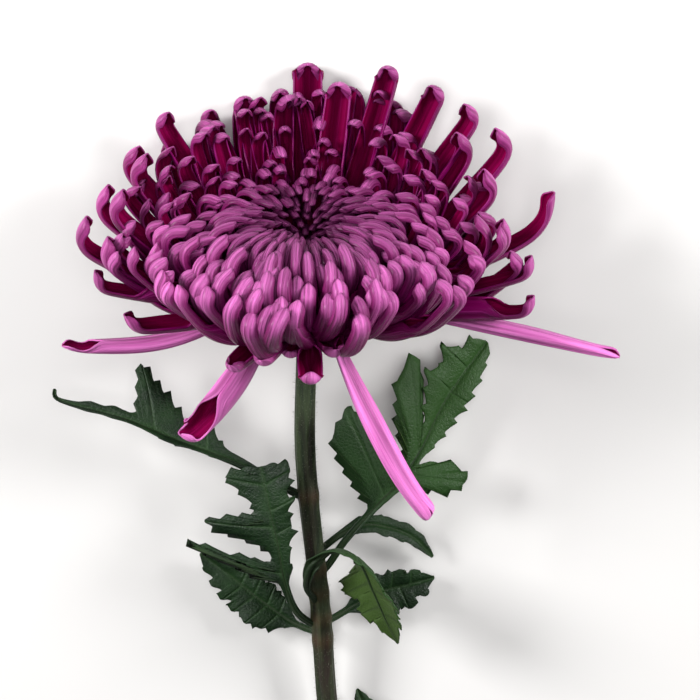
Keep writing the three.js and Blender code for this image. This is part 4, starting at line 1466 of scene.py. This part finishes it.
def leaves() -> list[Leaf]:
    """The eight leaves, from the top of the stem down.

    Returns:
        Each leaf with its midrib and outline.
    """
    return [
        Leaf(
            "upper_right_leaf", "leaf_upper_right",
            midrib=(
                (7.4, -82, 13.9), (11.4, -71.6, 16.9), (20.9, -60, 17.9), (26.3, -54.5, 16.9),
                (33.5, -44.7, 13.9), (41.4, -29.6, 9.9), (54, -12.5, 4.9),
            ),
            outline=(
                (0.15, 1, 1), (0.27, 1.2, 1.2), (0.285, 2.7, 1.2), (0.3, 9.2, 1.3),
                (0.312, 17, 1.4), (0.322, 22.6, 1.4), (0.33, 27.5, 1.5), (0.338, 28, 1.6),
                (0.345, 31.5, 1.6), (0.36, 26, 1.6), (0.37, 20, 1.6), (0.38, 13.8, 1.8),
                (0.39, 7.8, 2), (0.4, 4, 3.5), (0.415, 2.4, 6.6), (0.425, 2.2, 9.4),
                (0.432, 2.1, 12.9), (0.445, 2, 17.2), (0.455, 2, 13), (0.465, 2.8, 8.1),
                (0.475, 6, 5.3), (0.485, 11.2, 3.4), (0.5, 16.1, 1.8), (0.515, 19.8, 1.6),
                (0.53, 20, 1.8), (0.54, 12.8, 2), (0.545, 6, 2), (0.552, 3, 2.4), (0.575, 2.2, 3),
                (0.6, 2.2, 3.6), (0.62, 2.6, 4.2), (0.65, 3.6, 5), (0.68, 5.2, 5.6),
                (0.72, 7.2, 5.8), (0.75, 9, 6), (0.78, 11.2, 6.2), (0.82, 7.5, 5.6),
                (0.88, 11.4, 5), (0.91, 6, 4.4), (0.97, 5.4, 3), (1, 0.5, 0.5),
            ),
            lean=(
                (0.27, 0, 0.1), (0.322, 0.12, 0.1), (0.33, 0.11, 0.1), (0.345, 0.31, 0.2),
                (0.36, 0.37, 0.3), (0.38, 0.32, 0.4), (0.39, 0.25, 0.5), (0.415, 0.2, 0.3),
                (0.432, 0.4, 0.36), (0.445, 0.6, 0.58), (0.465, 0.6, 1.26), (0.475, 0.6, 1.3),
                (0.5, 0.69, 0.5), (0.515, 0.84, 0.2), (0.53, 1.3, 0), (0.54, 1.7, 0),
                (0.552, 1.7, 0), (0.575, 1.2, 0), (0.6, 0.3, 0), (0.62, 0, 0), (1, 0.1, 0.1),
            ),
            face=(0.1, -0.1, 1), face_tip=(0.3, 0.1, 1), rise=(14, 10), wave=1.2,
            # Painted light on its lit part towards the tip
            painted_light=0.55,
        ),
        Leaf(
            "upper_left_leaf", "leaf_upper_left",
            midrib=(
                (-4.5, -58.6, 17.2), (-10.3, -54, 17.4), (-19.6, -48, 19.4), (-29.7, -43.5, 21.4),
                (-40.1, -39.4, 22.4), (-51.6, -34.4, 22.9), (-60.7, -31.8, 21.9),
                (-70, -29.6, 20.9), (-74, -27.8, 20.7), (-74.2, -25.2, 20.8),
            ),
            outline=(
                (0.12, 1, 1), (0.2, 1.4, 1.6), (0.27, 1.8, 2.2), (0.31, 2.4, 3), (0.345, 2.8, 6),
                (0.38, 2.6, 10.4), (0.41, 2.4, 8.6), (0.435, 2.6, 5.4), (0.46, 3, 7.6),
                (0.49, 3.6, 10.6), (0.52, 3.2, 13), (0.55, 2.8, 15.4), (0.58, 2.4, 18),
                (0.6, 2.2, 15), (0.615, 2, 11.5), (0.63, 2, 7.5), (0.65, 2, 3), (0.68, 1.9, 2),
                (0.73, 2.4, 2.8), (0.78, 1.5, 1.7), (0.83, 2, 2.2), (0.88, 1.2, 1.2),
                (0.94, 0.8, 0.8), (1, 0.4, 0.4),
            ),
            lean=(
                (0.3, 0.2, 0.25), (0.38, 0.2, 0.34), (0.46, 0.2, 0.55), (0.52, 0.2, 0.7),
                (0.65, 0.2, 0.72),
            ),
            face=(0.2, 0.8, 0.6), face_tip=(0.2, 0.8, 0.6), rise=(20, 30), wave=0.8,
        ),
        Leaf(
            "middle_left_leaf", "leaf_middle_left",
            midrib=(
                (-0.4, -99, 12.6), (-4.2, -92, 17.9), (-6.8, -82, 22.9), (-8.5, -71, 25.4),
                (-11, -59.5, 26.2), (-13.5, -47.5, 25.4),
            ),
            outline=(
                (0.2, 1, 1), (0.35, 1.6, 1.2), (0.385, 14, 2), (0.41, 28, 3), (0.435, 12, 3.4),
                (0.47, 2.6, 3), (0.53, 3.2, 3.6), (0.59, 12, 5), (0.635, 18, 6), (0.68, 20.5, 5.4),
                (0.72, 9, 6.6), (0.76, 4, 8), (0.81, 6.5, 7), (0.86, 9.5, 8.6), (0.9, 12.5, 9),
                (0.945, 9, 7.6), (0.98, 5, 4.6), (1, 1, 1),
            ),
            lean=((0.41, 0.5, 0.4), (0.59, 0.25, 0.4), (0.7, 0.3, 0.4), (0.8, 0.4, 0.4)),
            face=(-0.2, -0.1, 1), face_tip=(-0.3, 0.2, 1), rise=(2, 6), wave=1,
        ),
        Leaf(
            "lower_left_leaf", "leaf_lower_left",
            midrib=(
                (0.7, -101, 9.8), (-5.6, -98, 7.9), (-14.1, -92, 7.4), (-23.8, -84.2, 6.9),
                (-33, -77, 7.9),
            ),
            outline=(
                (0.14, 1, 1), (0.2, 4, 3), (0.27, 7.5, 5.5), (0.32, 6.6, 4.6), (0.38, 8.8, 7),
                (0.44, 7, 5.2), (0.5, 8.6, 8), (0.56, 6.2, 5.6), (0.62, 7.6, 7.6), (0.68, 5.2, 5),
                (0.75, 5.8, 5.6), (0.81, 3.8, 3.4), (0.88, 3.6, 3.6), (0.94, 2, 2), (1, 0.4, 0.4),
            ),
            lean=((0, 0.3, 0.3),),
            face=(-0.1, 0.2, 1), face_tip=(-0.3, 0.2, 1), rise=(10, 5), wave=1,
        ),
        Leaf(
            "front_leaf", "leaf_front",
            midrib=(
                (3.1, -91, 17.3), (0.2, -85, 20.9), (0.5, -79, 25.9), (3.5, -73.5, 28.4),
                (9, -71.2, 29.9), (15.5, -74.5, 29.9), (19.6, -83.8, 27.9), (23.2, -92.8, 24.9),
                (27, -101.4, 20.9),
            ),
            outline=(
                (0.1, 1.2, 1.2), (0.24, 2, 2), (0.34, 3, 2.4), (0.42, 5, 4), (0.46, 8.5, 6.5),
                (0.5, 13, 10), (0.54, 13.6, 9), (0.58, 17, 12.5), (0.61, 13.6, 10), (0.65, 14.5, 9),
                (0.69, 10, 13), (0.73, 8, 8.6), (0.78, 9.4, 6.6), (0.82, 6.6, 7), (0.86, 4.5, 4.6),
                (0.92, 3.4, 3), (1, 0.4, 0.4),
            ),
            lean=((0.42, 0.4, 0.1), (0.62, 0.45, 0.1), (0.69, 0.45, 0.25), (0.76, 0.45, 0.4)),
            face=(0.3, 0.9, 0.5), face_tip=(0.6, 0.4, -0.8), rise=(-10, -10), wave=0.5,
            # Painted light on its lit part towards the tip
            painted_light=0.5,
        ),
        Leaf(
            "lower_right_leaf", "leaf_lower_right",
            midrib=(
                (7.5, -97, 9.9), (14, -93, 7.9), (23, -88.8, 6.4), (30.3, -87.1, 5.9),
                (38.5, -84.9, 5.4),
            ),
            outline=(
                (0.16, 1, 1), (0.24, 3.2, 3.5), (0.32, 5, 6.2), (0.37, 4.2, 7.4), (0.42, 6.4, 5.6),
                (0.48, 6.8, 7.6), (0.53, 4.6, 8.6), (0.59, 6.2, 5.6), (0.66, 6, 7.8), (0.71, 4, 7),
                (0.78, 5, 4.2), (0.85, 3.4, 4.6), (0.92, 2.2, 2.2), (1, 0.4, 0.4),
            ),
            lean=((0, 0.3, 0.3),),
            face=(0, 0, 1), face_tip=(0.2, 0, 1), rise=(12, 8), wave=1,
        ),
        Leaf(
            "middle_right_leaf", "leaf_middle_right",
            midrib=(
                (5.7, -74.5, 13.2), (10, -70.4, 11.4), (17.5, -67.6, 10.4), (26, -69.2, 9.4),
                (32.3, -72.4, 7.9), (38, -78.6, 5.4),
            ),
            outline=(
                (0.14, 1, 1), (0.24, 1.8, 2), (0.34, 3, 2.8), (0.42, 2.6, 2.4), (0.5, 3.4, 3.2),
                (0.57, 2.6, 2.6), (0.65, 3.2, 3), (0.73, 2.2, 2.4), (0.81, 2.6, 2.4),
                (0.88, 1.6, 1.6), (0.94, 1.2, 1.2), (1, 0.4, 0.4),
            ),
            lean=((0, 0.3, 0.3),),
            face=(-0.1, 0.5, 0.85), face_tip=(0.4, 0.3, 0.85), rise=(8, 0), wave=0.8,
        ),
        Leaf(
            "bottom_leaf", "leaf_bottom",
            midrib=(
                (13.85, -152, 4.9), (16.6, -147, 5.9), (19, -138.5, 6.6), (18.4, -129, 6),
                (14.8, -120, 4.6),
            ),
            outline=(
                (0.16, 1, 1), (0.26, 2.6, 3.4), (0.34, 4, 5.6), (0.4, 3, 4.6), (0.48, 4.6, 6.2),
                (0.54, 3.4, 5), (0.62, 4.4, 5.8), (0.69, 3, 4.2), (0.78, 3.4, 4.4),
                (0.85, 2.4, 2.8), (0.92, 2, 2), (1, 0.4, 0.4),
            ),
            lean=((0, 0.4, 0.4),),
            face=(-0.2, -0.3, 1), face_tip=(0, -0.1, 1), rise=(12, 12), wave=0.8,
        ),
    ]


@dataclass
class Studio:
    """A plain pale floor, soft light from both sides and above, and the camera."""

    floor_size: float = 6.0
    distance: float = 0.48
    pixels_a_mm: float = 3.57
    picture: int = 700
    dip_pixel: tuple[float, float] = (305, 232)
    dip_depth: float = 24.0
    lean: float = math.radians(5.0)
    sensor: float = 36.0
    left_watts: float = 8.2
    right_watts: float = 6.8
    top_watts: float = 2.6
    room_strength: float = 0.06

    def floor(self) -> None:
        """Lays the floor."""
        bpy.ops.mesh.primitive_plane_add(size=self.floor_size)
        plane = bpy.context.object
        plane.name = "floor"
        dress(plane, FLOOR_SKIN.material())

    def lamp(self, name: str, place_m: Point, aim: Point, energy: float, size: float) -> None:
        """Hangs a soft square lamp.

        Args:
            name: its name.
            place_m: where it hangs, in metres.
            aim: the point that it looks at.
            energy: watts.
            size: the length of its side in metres.
        """
        light = bpy.data.lights.new(name, "AREA")
        light.energy = energy
        light.size = size
        lamp = bpy.data.objects.new(name, light)
        bpy.context.scene.collection.objects.link(lamp)
        lamp.location = place_m
        lamp.rotation_euler = (Vector(aim) - Vector(place_m)).to_track_quat("-Z", "Y").to_euler()

    def lights(self) -> None:
        """Lights the flower from both sides, a little from above, and with a dim room."""
        bloom = (-0.01, 0.07, 0.03)
        self.lamp("left_lamp", (-0.6, 0.25, 0.4), bloom, self.left_watts, 0.26)
        self.lamp("right_lamp", (0.6, 0.25, 0.4), bloom, self.right_watts, 0.26)
        self.lamp("top_lamp", (0.0, 0.1, 0.8), (0, 0.02, 0), self.top_watts, 0.35)
        world = bpy.data.worlds.new("room")
        world.use_nodes = True
        background = world.node_tree.nodes["Background"]
        background.inputs["Color"].default_value = (0.9, 0.92, 1.0, 1)
        background.inputs["Strength"].default_value = self.room_strength
        bpy.context.scene.world = world
        bpy.context.scene.view_settings.view_transform = "Standard"

    def camera(self) -> None:
        """Sets the camera over the flower, so that the dip of its disc falls where it should."""
        back = Vector((0, math.sin(self.lean), math.cos(self.lean)))
        up = Vector((0, math.cos(self.lean), -math.sin(self.lean)))
        right = Vector((1, 0, 0))
        dip = from_bloom(np.array([0.0, 0.0, self.dip_depth])) + SET_DOWN
        centre = self.picture / 2
        shift_x = (centre - self.dip_pixel[0]) / self.pixels_a_mm * MM
        shift_y = (centre - self.dip_pixel[1]) / self.pixels_a_mm * MM
        camera = bpy.data.cameras.new("camera")
        camera.sensor_width = self.sensor
        camera.lens = self.sensor * self.distance / (self.picture / self.pixels_a_mm * MM)
        holder = bpy.data.objects.new("camera", camera)
        bpy.context.scene.collection.objects.link(holder)
        stand = Vector(dip * MM) + back * self.distance + right * shift_x - up * shift_y
        holder.matrix_world = Matrix.Translation(stand) @ Matrix((right, up, back)).transposed().to_4x4()
        bpy.context.scene.camera = holder

    def build(self) -> None:
        """Sets up the floor, the lights and the camera."""
        self.floor()
        self.lights()
        self.camera()


def main() -> None:
    """Builds the flower and its studio, and reports each piece."""
    logging.basicConfig(level=logging.INFO, format="%(name)s: %(message)s")
    Studio().build()
    Bloom().build()
    Cup().build()
    Stem().build()
    upper, under = LEAF_UPPER.material(), LEAF_UNDER.material()
    for leaf in leaves():
        leaf.build(upper, under)


if __name__ == "__main__":
    main()
